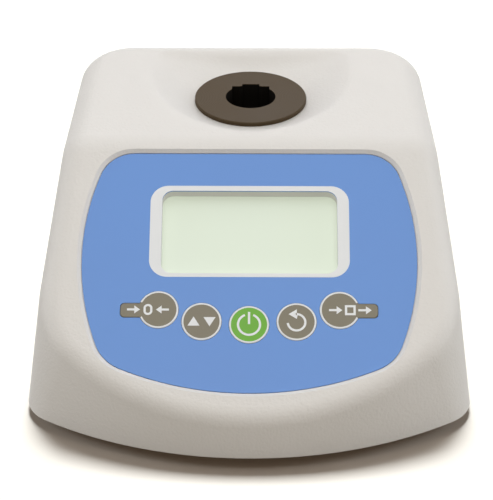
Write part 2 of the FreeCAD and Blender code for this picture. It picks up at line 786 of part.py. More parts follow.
def make_keys():
    """Five keys: a cap flush in the overlay, a flange behind the panel and a stem to the switch."""
    for name, side, x, y in key_places():
        skirt = "(%s + sizes.key_rest_gap)" % PANEL_SKIN
        cap = key_outline(name + "_cap", side, x, y, "0", "-" + skirt, "%s + sizes.key_proud" % skirt)
        crowned = fillet(name + "_crowned", cap, cap_rim, sizes.key_crown_radius)
        flange = cylinder(name + "_flange", "sizes.key_flange_radius", "sizes.key_flange_thickness", x, y,
                          "-%s - sizes.key_flange_thickness" % skirt)
        plunger_top = "(%s - sizes.switch_height - sizes.plunger_rise)" % BOARD_FACE
        stem = cylinder(name + "_stem", "sizes.key_stem_radius", "%s - %s" % (plunger_top, skirt), x, y,
                        "-" + plunger_top)
        sub_part(name + "_key", fuse(name + "_key", [crowned, flange, stem]), PANEL)
        plunger = cylinder(name + "_plunger", "sizes.plunger_radius", "sizes.plunger_rise + sizes.plunger_sink",
                           x, y, "-%s - sizes.plunger_rise - sizes.plunger_sink" % plunger_top)
        sub_part(name + "_plunger", group(name + "_plunger_part", [plunger]), PANEL)


def cap_rim(shape, edge):
    """Whether an edge goes round the outer face of a key's cap."""
    return edge.BoundBox.ZMin > shape.BoundBox.ZMax - 0.001


def make_display():
    """The display module: metal bezel, glass, light guide and board."""
    face = "(sizes.glass_depth - sizes.bezel_sheet)"
    outer = box("bezel_outer", "sizes.bezel_width", "sizes.bezel_height", "sizes.bezel_depth",
                y="sizes.window_centre", z="-%s - sizes.bezel_depth" % face)
    hollow = box("bezel_hollow", "sizes.bezel_width - 2 * sizes.bezel_sheet",
                 "sizes.bezel_height - 2 * sizes.bezel_sheet", "sizes.bezel_depth",
                 y="sizes.window_centre", z="-%s - sizes.bezel_depth - sizes.bezel_sheet" % face)
    opening = box("bezel_opening", "sizes.bezel_width - 2 * sizes.bezel_border",
                  "sizes.bezel_height - 2 * sizes.bezel_border", "2 * sizes.bezel_depth",
                  y="sizes.window_centre", z="-%s - sizes.bezel_depth" % face)
    sub_part("lcd_bezel", cut("lcd_bezel", outer, [hollow, opening]), PANEL)
    width = "sizes.bezel_width - 4 * sizes.bezel_sheet"
    height = "sizes.bezel_height - 4 * sizes.bezel_sheet"
    glass = box("glass", width, height, "sizes.glass_thickness", y="sizes.window_centre",
                z="-sizes.glass_depth - sizes.glass_thickness")
    sub_part("lcd_glass", group("lcd_glass", [glass]), PANEL)
    guide = box("guide", width, height,
                "sizes.bezel_depth - sizes.bezel_sheet - sizes.glass_thickness", y="sizes.window_centre",
                z="-%s - sizes.bezel_depth" % face)
    sub_part("lcd_light_guide", group("lcd_light_guide", [guide]), PANEL)
    display_screws, switch_screws = panel_screw_places()
    board = box("display_board", "sizes.display_board_width", "sizes.display_board_height",
                "sizes.board_thickness", y="sizes.window_centre", z="-%s - sizes.board_thickness" % BOARD_FACE)
    sub_part("lcd_board", cut("lcd_board", board, board_holes("lcd_board", display_screws)), PANEL)
    sub_part("lcd_screws", group("lcd_screws", board_screws("lcd_screw", display_screws)), PANEL)


def board_holes(name, places):
    """Screw holes through a board behind the panel."""
    return [cylinder("%s_hole_%d" % (name, number), "sizes.small_screw_radius + sizes.screw_gap",
                     "3 * sizes.board_thickness", x, y, "-%s - 2 * sizes.board_thickness" % BOARD_FACE)
            for number, (x, y) in enumerate(places, start=1)]


def board_screws(name, places):
    """Screws through a board into the panel's bosses."""
    back = "(%s + sizes.board_thickness)" % BOARD_FACE
    screws = []
    for number, (x, y) in enumerate(places, start=1):
        head = cylinder("%s_head_%d" % (name, number), "sizes.small_head_radius", "sizes.small_head_height",
                        x, y, "-%s - sizes.small_head_height" % back)
        shank = cylinder("%s_shank_%d" % (name, number), "sizes.small_screw_radius",
                         "sizes.small_screw_length", x, y, "-" + back)
        screws.append(fuse("%s_%d" % (name, number), [head, shank]))
    return screws


def make_switches():
    """The switch board with five tactile switches."""
    switch_screws = panel_screw_places()[1]
    board = box("switch_board_blank", "sizes.switch_board_width",
                "sizes.switch_board_top + sizes.switch_board_bottom", "sizes.board_thickness",
                y="(sizes.switch_board_top - sizes.switch_board_bottom) / 2",
                z="-%s - sizes.board_thickness" % BOARD_FACE)
    sub_part("switch_board", cut("switch_board", board, board_holes("switch_board", switch_screws)), PANEL)
    sub_part("switch_board_screws", group("switch_board_screws", board_screws("switch_screw", switch_screws)),
             PANEL)
    switches = []
    for name, side, x, y in key_places():
        case = box(name + "_switch_case", "sizes.switch_width", "sizes.switch_width", "sizes.switch_height",
                   x, y, "-" + BOARD_FACE)
        bore = cylinder(name + "_switch_bore", "sizes.plunger_radius + sizes.plunger_gap",
                        "sizes.switch_height", x, y, "-%s + sizes.board_thickness" % BOARD_FACE)
        switches.append(cut(name + "_switch", case, [bore]))
    sub_part("tactile_switches", group("tactile_switches", switches), PANEL)


# Sample well

def make_well():
    """The sample socket: a flanged tube with a bore that takes tubes and square cuvettes."""
    flange = cylinder("socket_flange", "sizes.flange_radius", "sizes.flange_thickness")
    eased = document.addObject("Part::Chamfer", "socket_flange_eased")
    document.recompute()
    eased.Base = flange
    eased.Edges = [(number, sizes.flange_chamfer, sizes.flange_chamfer)
                   for number, edge in enumerate(flange.Shape.Edges, start=1) if cap_rim(flange.Shape, edge)]
    tube = cylinder("socket_tube", "sizes.well_outer_radius", "sizes.well_length", z="-sizes.well_length")
    over = "sizes.well_depth + 2 * sizes.flange_thickness"
    tools = [
        cylinder("tube_bore", "sizes.tube_bore_radius", over, z="-sizes.well_depth"),
        box("cuvette_slot", "sizes.cuvette_width", "sizes.cuvette_width", over,
            y="sizes.cuvette_back - sizes.cuvette_width / 2", z="-sizes.well_depth"),
        box("keyway", "sizes.keyway_width", "sizes.keyway_back", over, y="sizes.keyway_back / 2",
            z="-sizes.well_depth"),
        cylinder("light_path", "sizes.light_path_radius", "4 * sizes.well_outer_radius",
                 "-2 * sizes.well_outer_radius", "0", "-sizes.light_path_drop", ALONG_X),
        ring("gasket_groove", "sizes.gasket_outer_radius", "sizes.gasket_inner_radius",
             "sizes.gasket_thickness", "0"),
        cylinder("pad_pocket", "sizes.pad_radius + sizes.pad_gap", "2 * sizes.pad_thickness",
                 z="-sizes.well_depth - sizes.pad_thickness"),
    ]
    sub_part("sample_socket", cut("sample_socket", fuse("socket_blank", [eased, tube]), tools), WELL)
    seal = ring("seal", "sizes.gasket_outer_radius", "sizes.gasket_inner_radius", "sizes.gasket_thickness", "0")
    sub_part("socket_seal", group("socket_seal", [seal]), WELL)
    nut = ring("nut", "sizes.nut_radius", "sizes.well_outer_radius + sizes.thread_gap", "sizes.nut_thickness",
               "-sizes.wall - sizes.nut_thickness")
    slots = [box("nut_slot_%d" % number, width, depth, "sizes.nut_thickness",
                 z="-sizes.wall - 1.5 * sizes.nut_thickness")
             for number, (width, depth) in enumerate((("3 * sizes.nut_radius", "sizes.nut_slot"),
                                                      ("sizes.nut_slot", "3 * sizes.nut_radius")), start=1)]
    sub_part("socket_nut", cut("socket_nut", nut, slots), WELL)
    pad = cylinder("pad", "sizes.pad_radius", "sizes.pad_thickness",
                   z="-sizes.well_depth - sizes.pad_thickness")
    sub_part("well_pad", group("well_pad", [pad]), WELL)
    make_spring()


def ring(name, outer, inner, height, z):
    """A flat ring that stands on z."""
    disc = cylinder(name + "_disc", outer, height, z=z)
    hole = cylinder(name + "_hole", inner, "3 * (%s)" % height, z="%s - %s" % (z, height))
    return cut(name, disc, [hole])


def make_spring():
    """The leaf spring in the keyway that steadies a cuvette, bowed towards it in the middle."""
    leaf = box("spring_leaf", "sizes.spring_width", "sizes.spring_thickness", "sizes.spring_length",
               y="sizes.keyway_back - sizes.spring_thickness / 2",
               z="-sizes.spring_top_drop - sizes.spring_length")
    rib = box("spring_rib", "sizes.spring_width / 2", "2 * sizes.spring_thickness", "sizes.spring_length / 2",
              y="sizes.keyway_back - 1.5 * sizes.spring_thickness",
              z="-sizes.spring_top_drop - 0.75 * sizes.spring_length")
    sub_part("cuvette_spring", fuse("cuvette_spring", [leaf, rib]), WELL)


def make_optics():
    """The collar below the dish that holds the lamp and the detector on their boards."""
    middle = "-sizes.light_path_drop"
    block = box("collar_block", "sizes.collar_width", "sizes.collar_depth", "sizes.collar_height",
                z="%s - sizes.collar_height / 2" % middle)
    bore = cylinder("collar_bore", "sizes.well_outer_radius + sizes.collar_gap", "2 * sizes.collar_height",
                    z="%s - sizes.collar_height" % middle)
    path = cylinder("collar_path", "sizes.light_path_radius", "2 * sizes.collar_width",
                    "-sizes.collar_width", "0", middle, ALONG_X)
    pilots = []
    screws = []
    for side in SIDES:
        face = "%d * sizes.collar_width / 2" % side
        for end in SIDES:
            y = "%d * sizes.optics_screw_spacing / 2" % end
            name = "optics_%d" % (len(screws) + 1)
            start = "%s + %d * sizes.board_thickness" % (face, side)
            turn = FreeCAD.Rotation(Vector(0, 1, 0), -90 * side)
            pilots.append(cylinder(name + "_pilot", "sizes.small_screw_radius",
                                   "sizes.small_screw_length", face, y, middle, turn))
            shank = cylinder(name + "_shank", "sizes.small_screw_radius", "sizes.small_screw_length",
                             start, y, middle, turn)
            head = cylinder(name + "_head", "sizes.small_head_radius", "sizes.small_head_height",
                            "%s + %d * sizes.small_head_height" % (start, side), y, middle, turn)
            screws.append(fuse(name + "_screw", [shank, head]))
    sub_part("optics_collar", cut("optics_collar", block, [bore, path] + pilots), WELL)
    sub_part("optics_screws", group("optics_screws", screws), WELL)
    for side, lamp_name, board_name in ((-1, "emitter_led", "emitter_board"),
                                        (1, "detector_photodiode", "detector_board")):
        turn = FreeCAD.Rotation(Vector(0, 1, 0), -90 * side)
        stem = cylinder(lamp_name + "_stem", "sizes.lamp_radius",
                        "sizes.collar_width / 2 - sizes.lamp_tip - sizes.lamp_radius",
                        "%d * sizes.collar_width / 2" % side, "0", middle, turn)
        dome = document.addObject("Part::Sphere", lamp_name + "_dome")
        bind(dome, {"Radius": "sizes.lamp_radius"})
        place(dome, "%d * (sizes.lamp_tip + sizes.lamp_radius)" % side, "0", middle)
        sub_part(lamp_name, fuse(lamp_name, [stem, dome]), WELL)
        board = box(board_name + "_blank", "sizes.board_thickness", "sizes.optics_board_width",
                    "sizes.collar_height", "%d * (sizes.collar_width + sizes.board_thickness) / 2" % side,
                    z="%s - sizes.collar_height / 2" % middle)
        holes = [cylinder("%s_hole_%d" % (board_name, number), "sizes.small_screw_radius + sizes.screw_gap",
                          "4 * sizes.board_thickness",
                          "%d * sizes.collar_width / 2 - 2 * sizes.board_thickness" % side,
                          "%d * sizes.optics_screw_spacing / 2" % end, middle, ALONG_X)
                 for number, end in enumerate(SIDES, start=1)]
        sub_part(board_name, cut(board_name, board, holes), WELL)


# Base plate, battery bay and door

HINGE_STATION = "(sizes.bay_station - sizes.bay_depth / 2 - sizes.door_lap)"
HINGE_HEIGHT = "(sizes.plate_rise + sizes.hinge_radius)"
DOOR_WIDTH = "(sizes.bay_width + 2 * sizes.door_lap)"
DOOR_BACK = "(sizes.bay_station + sizes.bay_depth / 2 + sizes.door_lap)"


def foot_places():
    """Where the four feet stand."""
    front = [("%d * sizes.front_foot_x" % side, "sizes.front_foot_station") for side in SIDES]
    back = [("%d * sizes.back_foot_x" % side, "sizes.back_foot_station") for side in SIDES]
    return front + back


def main_post_places():
    """Where the main board is screwed to posts of the base plate."""
    stations = ("sizes.main_board_front + sizes.post_inset", "sizes.main_board_back - sizes.post_inset")
    return [("%d * sizes.main_post_x" % side, station) for side in SIDES for station in stations]


def power_post_places():
    """Where the power board is screwed to posts of the base plate."""
    station = POWER_BOARD_FRONT + " + sizes.post_radius"
    return [("sizes.inlet_x + %d * (sizes.power_board_width / 2 - sizes.post_radius)" % side, station)
            for side in SIDES]


POWER_BOARD_BACK = "(sizes.case_depth - sizes.inlet_height * tan(sizes.back_draft) - 2 * sizes.wall)"
POWER_BOARD_FRONT = "(%s - sizes.power_board_depth)" % POWER_BOARD_BACK
POWER_BOARD_TOP = "(sizes.inlet_height - sizes.inlet_body_height / 2)"


def make_base():
    """The base plate with the battery bay, posts, door opening and foot sockets."""
    inset = sizes.ledge_wall + sizes.plate_gap
    plan = sketch("plate_plan", plan_outline(0, inset, sizes.front_corner_radius), "sizes.plate_rise")
    plate = extrude("plate", plan, "sizes.plate_thickness")
    bay_outer = box("bay_outer", "sizes.bay_width + 2 * sizes.bay_wall", "sizes.bay_depth + 2 * sizes.bay_wall",
                    "sizes.bay_ceiling + sizes.bay_wall - sizes.plate_rise - sizes.plate_thickness / 2",
                    y="sizes.bay_station", z="sizes.plate_rise + sizes.plate_thickness / 2")
    hinge_housing = box("hinge_housing", "%s + 2 * sizes.hinge_cheek" % DOOR_WIDTH, "sizes.hinge_housing_depth",
                        "2 * sizes.hinge_radius + 2 * sizes.bay_wall", y=HINGE_STATION,
                        z="sizes.plate_rise")
    locator = cylinder("well_locator", "sizes.well_outer_radius + sizes.bay_wall + 4 * sizes.collar_gap",
                       "sizes.dish_floor_height - sizes.well_length + sizes.locator_rise - sizes.plate_rise",
                       y="sizes.well_station", z="sizes.plate_rise")
    pieces = [plate, bay_outer, hinge_housing, locator]
    tools = [box("bay_hollow", "sizes.bay_width", "sizes.bay_depth", "sizes.bay_ceiling + sizes.wall",
                 y="sizes.bay_station", z="-sizes.wall")]
    room = "(sizes.hinge_radius + sizes.hinge_room)"
    tools.append(box("door_opening", "%s + 2 * sizes.door_gap" % DOOR_WIDTH,
                     "%s - %s + sizes.door_gap" % (DOOR_BACK, HINGE_STATION),
                     "sizes.wall + sizes.plate_rise + sizes.door_thickness + sizes.door_gap / 2",
                     y="(%s + %s + sizes.door_gap) / 2" % (DOOR_BACK, HINGE_STATION), z="-sizes.wall"))
    tools.append(cylinder("hinge_room_round", room, "%s + 2 * sizes.door_gap" % DOOR_WIDTH,
                          "-%s / 2 - sizes.door_gap" % DOOR_WIDTH, HINGE_STATION, HINGE_HEIGHT, ALONG_X))
    tools.append(box("hinge_room_mouth", "%s + 2 * sizes.door_gap" % DOOR_WIDTH, "2 * %s" % room,
                     "%s + sizes.wall" % HINGE_HEIGHT, y=HINGE_STATION, z="-sizes.wall"))
    pin_hole = "(%s / 2 + sizes.hinge_pin_length + sizes.door_gap)" % DOOR_WIDTH
    tools.append(cylinder("hinge_pin_hole", "sizes.hinge_pin_radius + sizes.hinge_running_gap",
                          "2 * %s" % pin_hole, "-%s" % pin_hole, HINGE_STATION, HINGE_HEIGHT, ALONG_X))
    tools.append(cylinder("locator_bore", "sizes.well_outer_radius + 4 * sizes.collar_gap",
                          "sizes.dish_floor_height", y="sizes.well_station",
                          z="sizes.dish_floor_height - sizes.well_length"))
    for number, (x, y) in enumerate(main_post_places(), start=1):
        pieces.append(cylinder("main_post_%d" % number, "sizes.post_radius",
                               "sizes.main_board_height - sizes.plate_rise", x, y, "sizes.plate_rise"))
        tools.append(cylinder("main_post_pilot_%d" % number, "sizes.small_screw_radius",
                              "sizes.small_screw_length", x, y,
                              "sizes.main_board_height + sizes.board_thickness - sizes.small_screw_length"))
    for number, (x, y) in enumerate(power_post_places(), start=1):
        pieces.append(cylinder("power_post_%d" % number, "sizes.post_radius",
                               "%s - sizes.board_thickness - sizes.plate_rise" % POWER_BOARD_TOP, x, y,
                               "sizes.plate_rise"))
        tools.append(cylinder("power_post_pilot_%d" % number, "sizes.small_screw_radius",
                              "sizes.small_screw_length / 2", x, y,
                              "%s - sizes.small_screw_length / 2" % POWER_BOARD_TOP))
    for number, (x, y) in enumerate(case_screw_places(), start=1):
        tools.append(cylinder("plate_hole_%d" % number, "sizes.case_screw_radius + sizes.screw_gap",
                              "3 * sizes.plate_thickness", x, y, "-sizes.plate_thickness"))
        tools.append(cylinder("plate_sink_%d" % number, "sizes.case_screw_head_radius + sizes.screw_gap",
                              "sizes.wall + sizes.plate_rise + sizes.plate_thickness / 2", x, y, "-sizes.wall"))
    for number, (x, y) in enumerate(foot_places(), start=1):
        tools.append(cylinder("foot_socket_%d" % number, "sizes.foot_radius + sizes.screw_gap / 2",
                              "sizes.wall + sizes.plate_rise + sizes.foot_socket", x, y, "-sizes.wall"))
    body = fuse("base_blank", pieces)
    sub_part("base_plate", cut("base_plate", body, tools), CASE)


def make_door():
    """The battery door: a flat cover whose round front edge turns on two short pins."""
    leaf = box("door_leaf", DOOR_WIDTH, "%s - %s" % (DOOR_BACK, HINGE_STATION), "sizes.door_thickness",
               y="(%s + %s) / 2" % (DOOR_BACK, HINGE_STATION), z="sizes.plate_rise")
    barrel = cylinder("door_barrel", "sizes.hinge_radius", DOOR_WIDTH, "-%s / 2" % DOOR_WIDTH,
                      HINGE_STATION, HINGE_HEIGHT, ALONG_X)
    pin_reach = "(%s / 2 + sizes.hinge_pin_length)" % DOOR_WIDTH
    pins = cylinder("door_pins", "sizes.hinge_pin_radius", "2 * %s" % pin_reach, "-%s" % pin_reach,
                    HINGE_STATION, HINGE_HEIGHT, ALONG_X)
    grip = rounded_box("door_grip", "sizes.grip_width", "sizes.grip_depth", "sizes.door_thickness",
                       sizes.grip_corner, "0", "%s - sizes.grip_inset" % DOOR_BACK,
                       "sizes.plate_rise - sizes.door_thickness / 2")
    sub_part("battery_door", cut("battery_door", fuse("door_blank", [leaf, barrel, pins]), [grip]), CASE)


def make_cells():
    """Three cells side by side across the bay, with their contacts."""
    cells = []
    plates = []
    springs = []
    for row in (-1, 0, 1):
        station = "sizes.bay_station + %d * sizes.cell_pitch" % row
        facing = -1 if row == 0 else 1
        start = "-sizes.cell_length / 2"
        can = cylinder("cell_can_%d" % (row + 2), "sizes.cell_radius", "sizes.cell_length", start, station,
                       "sizes.cell_height", ALONG_X)
        nub_start = "sizes.cell_length / 2" if facing > 0 else "-sizes.cell_length / 2 - sizes.nub_length"
        nub = cylinder("cell_nub_%d" % (row + 2), "sizes.nub_radius", "sizes.nub_length", nub_start, station,
                       "sizes.cell_height", ALONG_X)
        cells.append(fuse("cell_%d" % (row + 2), [can, nub]))
        room = "(sizes.bay_width - sizes.cell_length) / 2 - sizes.contact_thickness"
        bar = box("contact_bar_%d" % (row + 2), "%s - sizes.nub_length" % room, "sizes.contact_width / 2",
                  "sizes.contact_width / 2",
                  "%d * ((sizes.cell_length + %s + sizes.nub_length) / 2)" % (facing, room), station,
                  "sizes.cell_height - sizes.contact_width / 4")
        for side in SIDES:
            plate = box("contact_plate_%d_%d" % (row + 2, side + 2), "sizes.contact_thickness",
                        "sizes.contact_width", "sizes.contact_width",
                        "%d * (sizes.bay_width - sizes.contact_thickness) / 2" % side, station,
                        "sizes.cell_height - sizes.contact_width / 2")
            if side == facing:
                plates.append(fuse("contact_%d" % (row + 2), [plate, bar]))
            else:
                plates.append(plate)
        coil = document.addObject("Part::Cone", "contact_spring_%d" % (row + 2))
        coil.Placement = FreeCAD.Placement(Vector(), FreeCAD.Rotation(Vector(0, 1, 0), 90 * facing))
        bind(coil, {"Radius1": "sizes.contact_width * 0.45", "Radius2": "sizes.contact_width * 0.25",
                    "Height": room})
        place(coil, "%d * (sizes.bay_width / 2 - sizes.contact_thickness)" % -facing, station,
              "sizes.cell_height")
        springs.append(coil)
    sub_part("battery_cells", group("battery_cells", cells), CASE)
    sub_part("contact_plates", group("contact_plates", plates), CASE)
    sub_part("contact_springs", group("contact_springs", springs), CASE)


def make_feet_and_screws():
    """Rubber feet in their sockets and the screws that close the case."""
    feet = []
    for number, (x, y) in enumerate(foot_places(), start=1):
        pad = cone("foot_pad_%d" % number, "sizes.foot_base_radius", "sizes.foot_radius", "sizes.foot_height",
                   x, y, "-sizes.foot_height")
        plug = cylinder("foot_plug_%d" % number, "sizes.foot_radius",
                        "sizes.plate_rise + sizes.foot_socket", x, y)
        feet.append(fuse("foot_%d" % number, [pad, plug]))
    sub_part("rubber_feet", group("rubber_feet", feet), CASE)
    screws = []
    seat = "(sizes.plate_rise + sizes.plate_thickness / 2)"
    for number, (x, y) in enumerate(case_screw_places(), start=1):
        head = cylinder("case_head_%d" % number, "sizes.case_screw_head_radius",
                        "sizes.plate_thickness / 2", x, y, "sizes.plate_rise")
        shank = cylinder("case_shank_%d" % number, "sizes.case_screw_radius",
                         "sizes.case_screw_length - sizes.plate_thickness / 2", x, y, seat)
        screws.append(fuse("case_screw_%d" % number, [head, shank]))
    sub_part("case_screws", group("case_screws", screws), CASE)


# Boards in the case

def make_main_board():
    """The main board over the battery bay, with its chip, capacitors and connectors."""
    depth = "sizes.main_board_back - sizes.main_board_front"
    middle = "(sizes.main_board_back + sizes.main_board_front) / 2"
    blank = box("main_blank", "sizes.main_board_width", depth, "sizes.board_thickness", y=middle,
                z="sizes.main_board_height")
    holes = []
    screws = []
    top = "(sizes.main_board_height + sizes.board_thickness)"
    for number, (x, y) in enumerate(main_post_places(), start=1):
        holes.append(cylinder("main_hole_%d" % number, "sizes.small_screw_radius + sizes.screw_gap",
                              "3 * sizes.board_thickness", x, y,
                              "sizes.main_board_height - sizes.board_thickness"))
        head = cylinder("main_head_%d" % number, "sizes.small_head_radius", "sizes.small_head_height",
                        x, y, top)
        shank = cylinder("main_shank_%d" % number, "sizes.small_screw_radius", "sizes.small_screw_length",
                         x, y, "%s - sizes.small_screw_length" % top)
        screws.append(fuse("main_screw_%d" % number, [head, shank]))
    sub_part("main_board", cut("main_board", blank, holes), CASE)
    sub_part("main_board_screws", group("main_board_screws", screws), CASE)
    chip = box("chip", "sizes.chip_width", "sizes.chip_width", "sizes.chip_height", "-sizes.chip_x",
               "sizes.bay_station", top)
    sub_part("microcontroller", group("microcontroller", [chip]), CASE)
    cans = [cylinder("can_%d" % number, "sizes.can_radius", "sizes.can_height",
                     "sizes.can_x + %d * sizes.can_pitch" % number, "sizes.bay_station + sizes.can_offset", top)
            for number in (0, 1)]
    sub_part("board_capacitors", group("board_capacitors", cans), CASE)
    plugs = [box("plug_%d" % number, "sizes.plug_width", "sizes.plug_depth", "sizes.plug_height",
                 x, "sizes.main_board_back - sizes.plug_edge", top)
             for number, x in enumerate(("-sizes.plug_x", "sizes.plug_x / 4"), start=1)]
    sub_part("board_connectors", group("board_connectors", plugs), CASE)


def make_ribbon():
    """The flat cable from its connector on the main board up to the back of the display board."""
    station = sizes.main_board_back - sizes.plug_edge
    low = sizes.main_board_height + sizes.board_thickness + sizes.plug_height
    half = sizes.ribbon_thickness / 2
    slope = math.radians(sizes.panel_slope)
    depth = (sizes.lip_drop + sizes.glass_depth - sizes.bezel_sheet + sizes.bezel_depth
             + sizes.board_thickness)

    def board_back(height):
        run = sizes.panel_run + sizes.window_centre + height
        return (run * math.cos(slope) + depth * math.sin(slope),
                sizes.panel_nose_height + run * math.sin(slope) - depth * math.cos(slope))

    strip = polygon([
        (station - half, low),
        (station + half, low),
        (station + half, low + sizes.ribbon_rise),
        board_back(sizes.ribbon_end + half),
        board_back(sizes.ribbon_end - half),
        (station - half, low + sizes.ribbon_rise - half),
    ])
    profile = document.addObject("Sketcher::SketchObject", "ribbon_side_view")
    profile.addGeometry(strip, False)
    profile.Placement = FreeCAD.Placement(Vector(), FreeCAD.Rotation(UP, 90) * ALONG_Z_UP)
    bind(profile, {"Placement.Base.x": "-sizes.plug_x - sizes.ribbon_width / 2"})
    ribbon = document.addObject("Part::Extrusion", "display_ribbon")
    ribbon.Base = profile
    ribbon.DirMode = "Custom"
    ribbon.Dir = Vector(1, 0, 0)
    ribbon.Solid = True
    bind(ribbon, {"LengthFwd": "sizes.ribbon_width"})
    sub_part("display_ribbon", ribbon, CASE)


def make_power():
    """The power inlet on its small board at the back."""
    middle = "(%s + %s) / 2" % (POWER_BOARD_FRONT, POWER_BOARD_BACK)
    board = box("power_blank", "sizes.power_board_width", "sizes.power_board_depth", "sizes.board_thickness",
                "sizes.inlet_x", middle, "%s - sizes.board_thickness" % POWER_BOARD_TOP)
    holes = []
    screws = []
    for number, (x, y) in enumerate(power_post_places(), start=1):
        holes.append(cylinder("power_hole_%d" % number, "sizes.small_screw_radius + sizes.screw_gap",
                              "3 * sizes.board_thickness", x, y,
                              "%s - 2 * sizes.board_thickness" % POWER_BOARD_TOP))
        head = cylinder("power_head_%d" % number, "sizes.small_head_radius", "sizes.small_head_height",
                        x, y, POWER_BOARD_TOP)
        shank = cylinder("power_shank_%d" % number, "sizes.small_screw_radius", "sizes.small_screw_length / 2",
                         x, y, "%s - sizes.small_screw_length / 2" % POWER_BOARD_TOP)
        screws.append(fuse("power_screw_%d" % number, [head, shank]))
    sub_part("power_board", cut("power_board", board, holes), CASE)
    sub_part("power_board_screws", group("power_board_screws", screws), CASE)
    body = box("inlet_body", "sizes.inlet_width", "sizes.inlet_body_depth", "sizes.inlet_body_height",
               "sizes.inlet_x", "%s - sizes.inlet_body_depth / 2" % POWER_BOARD_BACK, POWER_BOARD_TOP)
    nose_length = "(2 * sizes.wall - sizes.inlet_nose_setback)"
    nose = cylinder("inlet_nose", "sizes.inlet_nose_radius", nose_length, "sizes.inlet_x",
                    POWER_BOARD_BACK, "sizes.inlet_height", ALONG_Y)
    floor = "(%s + %s - sizes.inlet_depth)" % (POWER_BOARD_BACK, nose_length)
    bore = cylinder("inlet_bore", "sizes.inlet_radius", "2 * sizes.inlet_depth", "sizes.inlet_x",
                    floor, "sizes.inlet_height", ALONG_Y)
    pin = cylinder("inlet_pin", "sizes.inlet_pin_radius", "sizes.inlet_depth - sizes.inlet_pin_setback",
                   "sizes.inlet_x", "%s - sizes.inlet_pin_setback" % floor, "sizes.inlet_height", ALONG_Y)
    shell = cut("inlet_shell", fuse("inlet_blank", [body, nose]), [bore])
    sub_part("dc_inlet", fuse("dc_inlet", [shell, pin]), CASE)


def check_document():
    """Stop if any object failed or any sub-part has no sound shape."""
    for item in document.Objects:
        if "Invalid" in item.State or "Error" in item.State:
            raise ValueError("%s did not compute: %s" % (item.Name, item.State))
    for node, item in sub_parts:
        if item.Shape.isNull() or not item.Shape.isValid() or not item.Shape.Solids:
            raise ValueError("%s has no valid solid" % node)


def write_parts():
    """Write each sub-part to a file named after its node."""
    os.makedirs("parts", exist_ok=True)
    for node, item in sub_parts:
        item.Shape.exportStep(os.path.join("parts", node + ".step"))
        print("%s: %d solids, %.1f mm3" % (node, len(item.Shape.Solids), item.Shape.Volume))


make_frames()
make_housing()
make_overlay()
make_keys()
make_display()
make_switches()
make_well()
make_optics()
make_base()
make_door()
make_cells()
make_feet_and_screws()
make_main_board()
make_ribbon()
make_power()
document.recompute()
check_document()
write_parts()
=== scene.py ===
import math

import bmesh
import bpy
from mathutils import Matrix, Vector


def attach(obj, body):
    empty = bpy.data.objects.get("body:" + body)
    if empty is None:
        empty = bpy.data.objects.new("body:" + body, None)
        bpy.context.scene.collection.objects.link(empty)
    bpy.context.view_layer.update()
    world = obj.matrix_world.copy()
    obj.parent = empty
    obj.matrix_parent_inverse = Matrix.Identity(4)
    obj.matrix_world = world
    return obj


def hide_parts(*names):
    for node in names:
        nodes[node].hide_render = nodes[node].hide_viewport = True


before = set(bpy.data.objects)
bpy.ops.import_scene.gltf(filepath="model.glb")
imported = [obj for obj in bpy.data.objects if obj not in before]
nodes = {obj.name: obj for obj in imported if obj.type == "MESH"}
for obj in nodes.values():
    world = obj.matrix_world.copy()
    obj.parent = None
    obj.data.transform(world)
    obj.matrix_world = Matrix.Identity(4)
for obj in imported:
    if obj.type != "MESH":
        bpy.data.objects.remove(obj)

scene = bpy.context.scene
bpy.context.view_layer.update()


# Camera
# The view of the photograph: from the front and 32 degrees above, through a long lens that stands
# about 0.7 m from the instrument, a third of a degree to its right.

CAMERA_REACH = 0.56698
CAMERA_HEIGHT = 0.38589
CAMERA_PITCH = math.radians(31.997)
CAMERA_TURN = math.radians(0.37)
LENS = 144.0
LENS_CLIP = (0.05, 20.0)
SHIFT_ACROSS = -0.007

lens = bpy.data.cameras.new("photo_camera")
lens.lens = LENS
lens.shift_x = SHIFT_ACROSS
lens.clip_start, lens.clip_end = LENS_CLIP
camera = bpy.data.objects.new("photo_camera", lens)
camera.location = (CAMERA_REACH * math.sin(CAMERA_TURN), -CAMERA_REACH * math.cos(CAMERA_TURN),
                   CAMERA_HEIGHT)
camera.rotation_euler = (math.pi / 2 - CAMERA_PITCH, 0.0, CAMERA_TURN)
scene.collection.objects.link(camera)
scene.camera = camera
scene.view_settings.view_transform = "Standard"


# Studio
# A plain white sweep. Five soft lamps light the instrument and not the sweep. Three light the sweep
# alone: the large one stands behind, and gives the short dark shadow under the front edge. The last
# lamp lights the underside through the sweep, for views from below.

ROOM_LIGHT = (1.0, 0.90, 0.78, 1.0)
ROOM_STRENGTH = 0.10
PLAIN_WHITE = (1.0, 1.0, 1.0, 1.0)
SIDE_COLOUR = (0.91, 0.96, 1.0)
FILL_COLOUR = (1.0, 0.93, 0.82)
FLOOR_COLOUR = (0.80, 0.91, 1.0)
BODY_TARGET = (0.0, 0.0, 0.04)
FLOOR_TARGET = (0.0, 0.0, 0.0)
BODY_LAMPS = (
    ("main_lamp", (0.0, 0.12, 1.0), 1.2, 5.5, (0.96, 0.99, 1.0)),
    ("left_lamp", (-0.9, 0.05, 0.40), 0.7, 2.2, SIDE_COLOUR),
    ("right_lamp", (0.9, 0.05, 0.40), 0.7, 3.2, SIDE_COLOUR),
    ("fill_lamp", (0.0, -0.62, 0.80), 0.6, 3.2, FILL_COLOUR),
    ("back_lamp", (0.0, 1.0, 0.55), 0.6, 1.75, (1.0, 0.97, 1.0)),
)
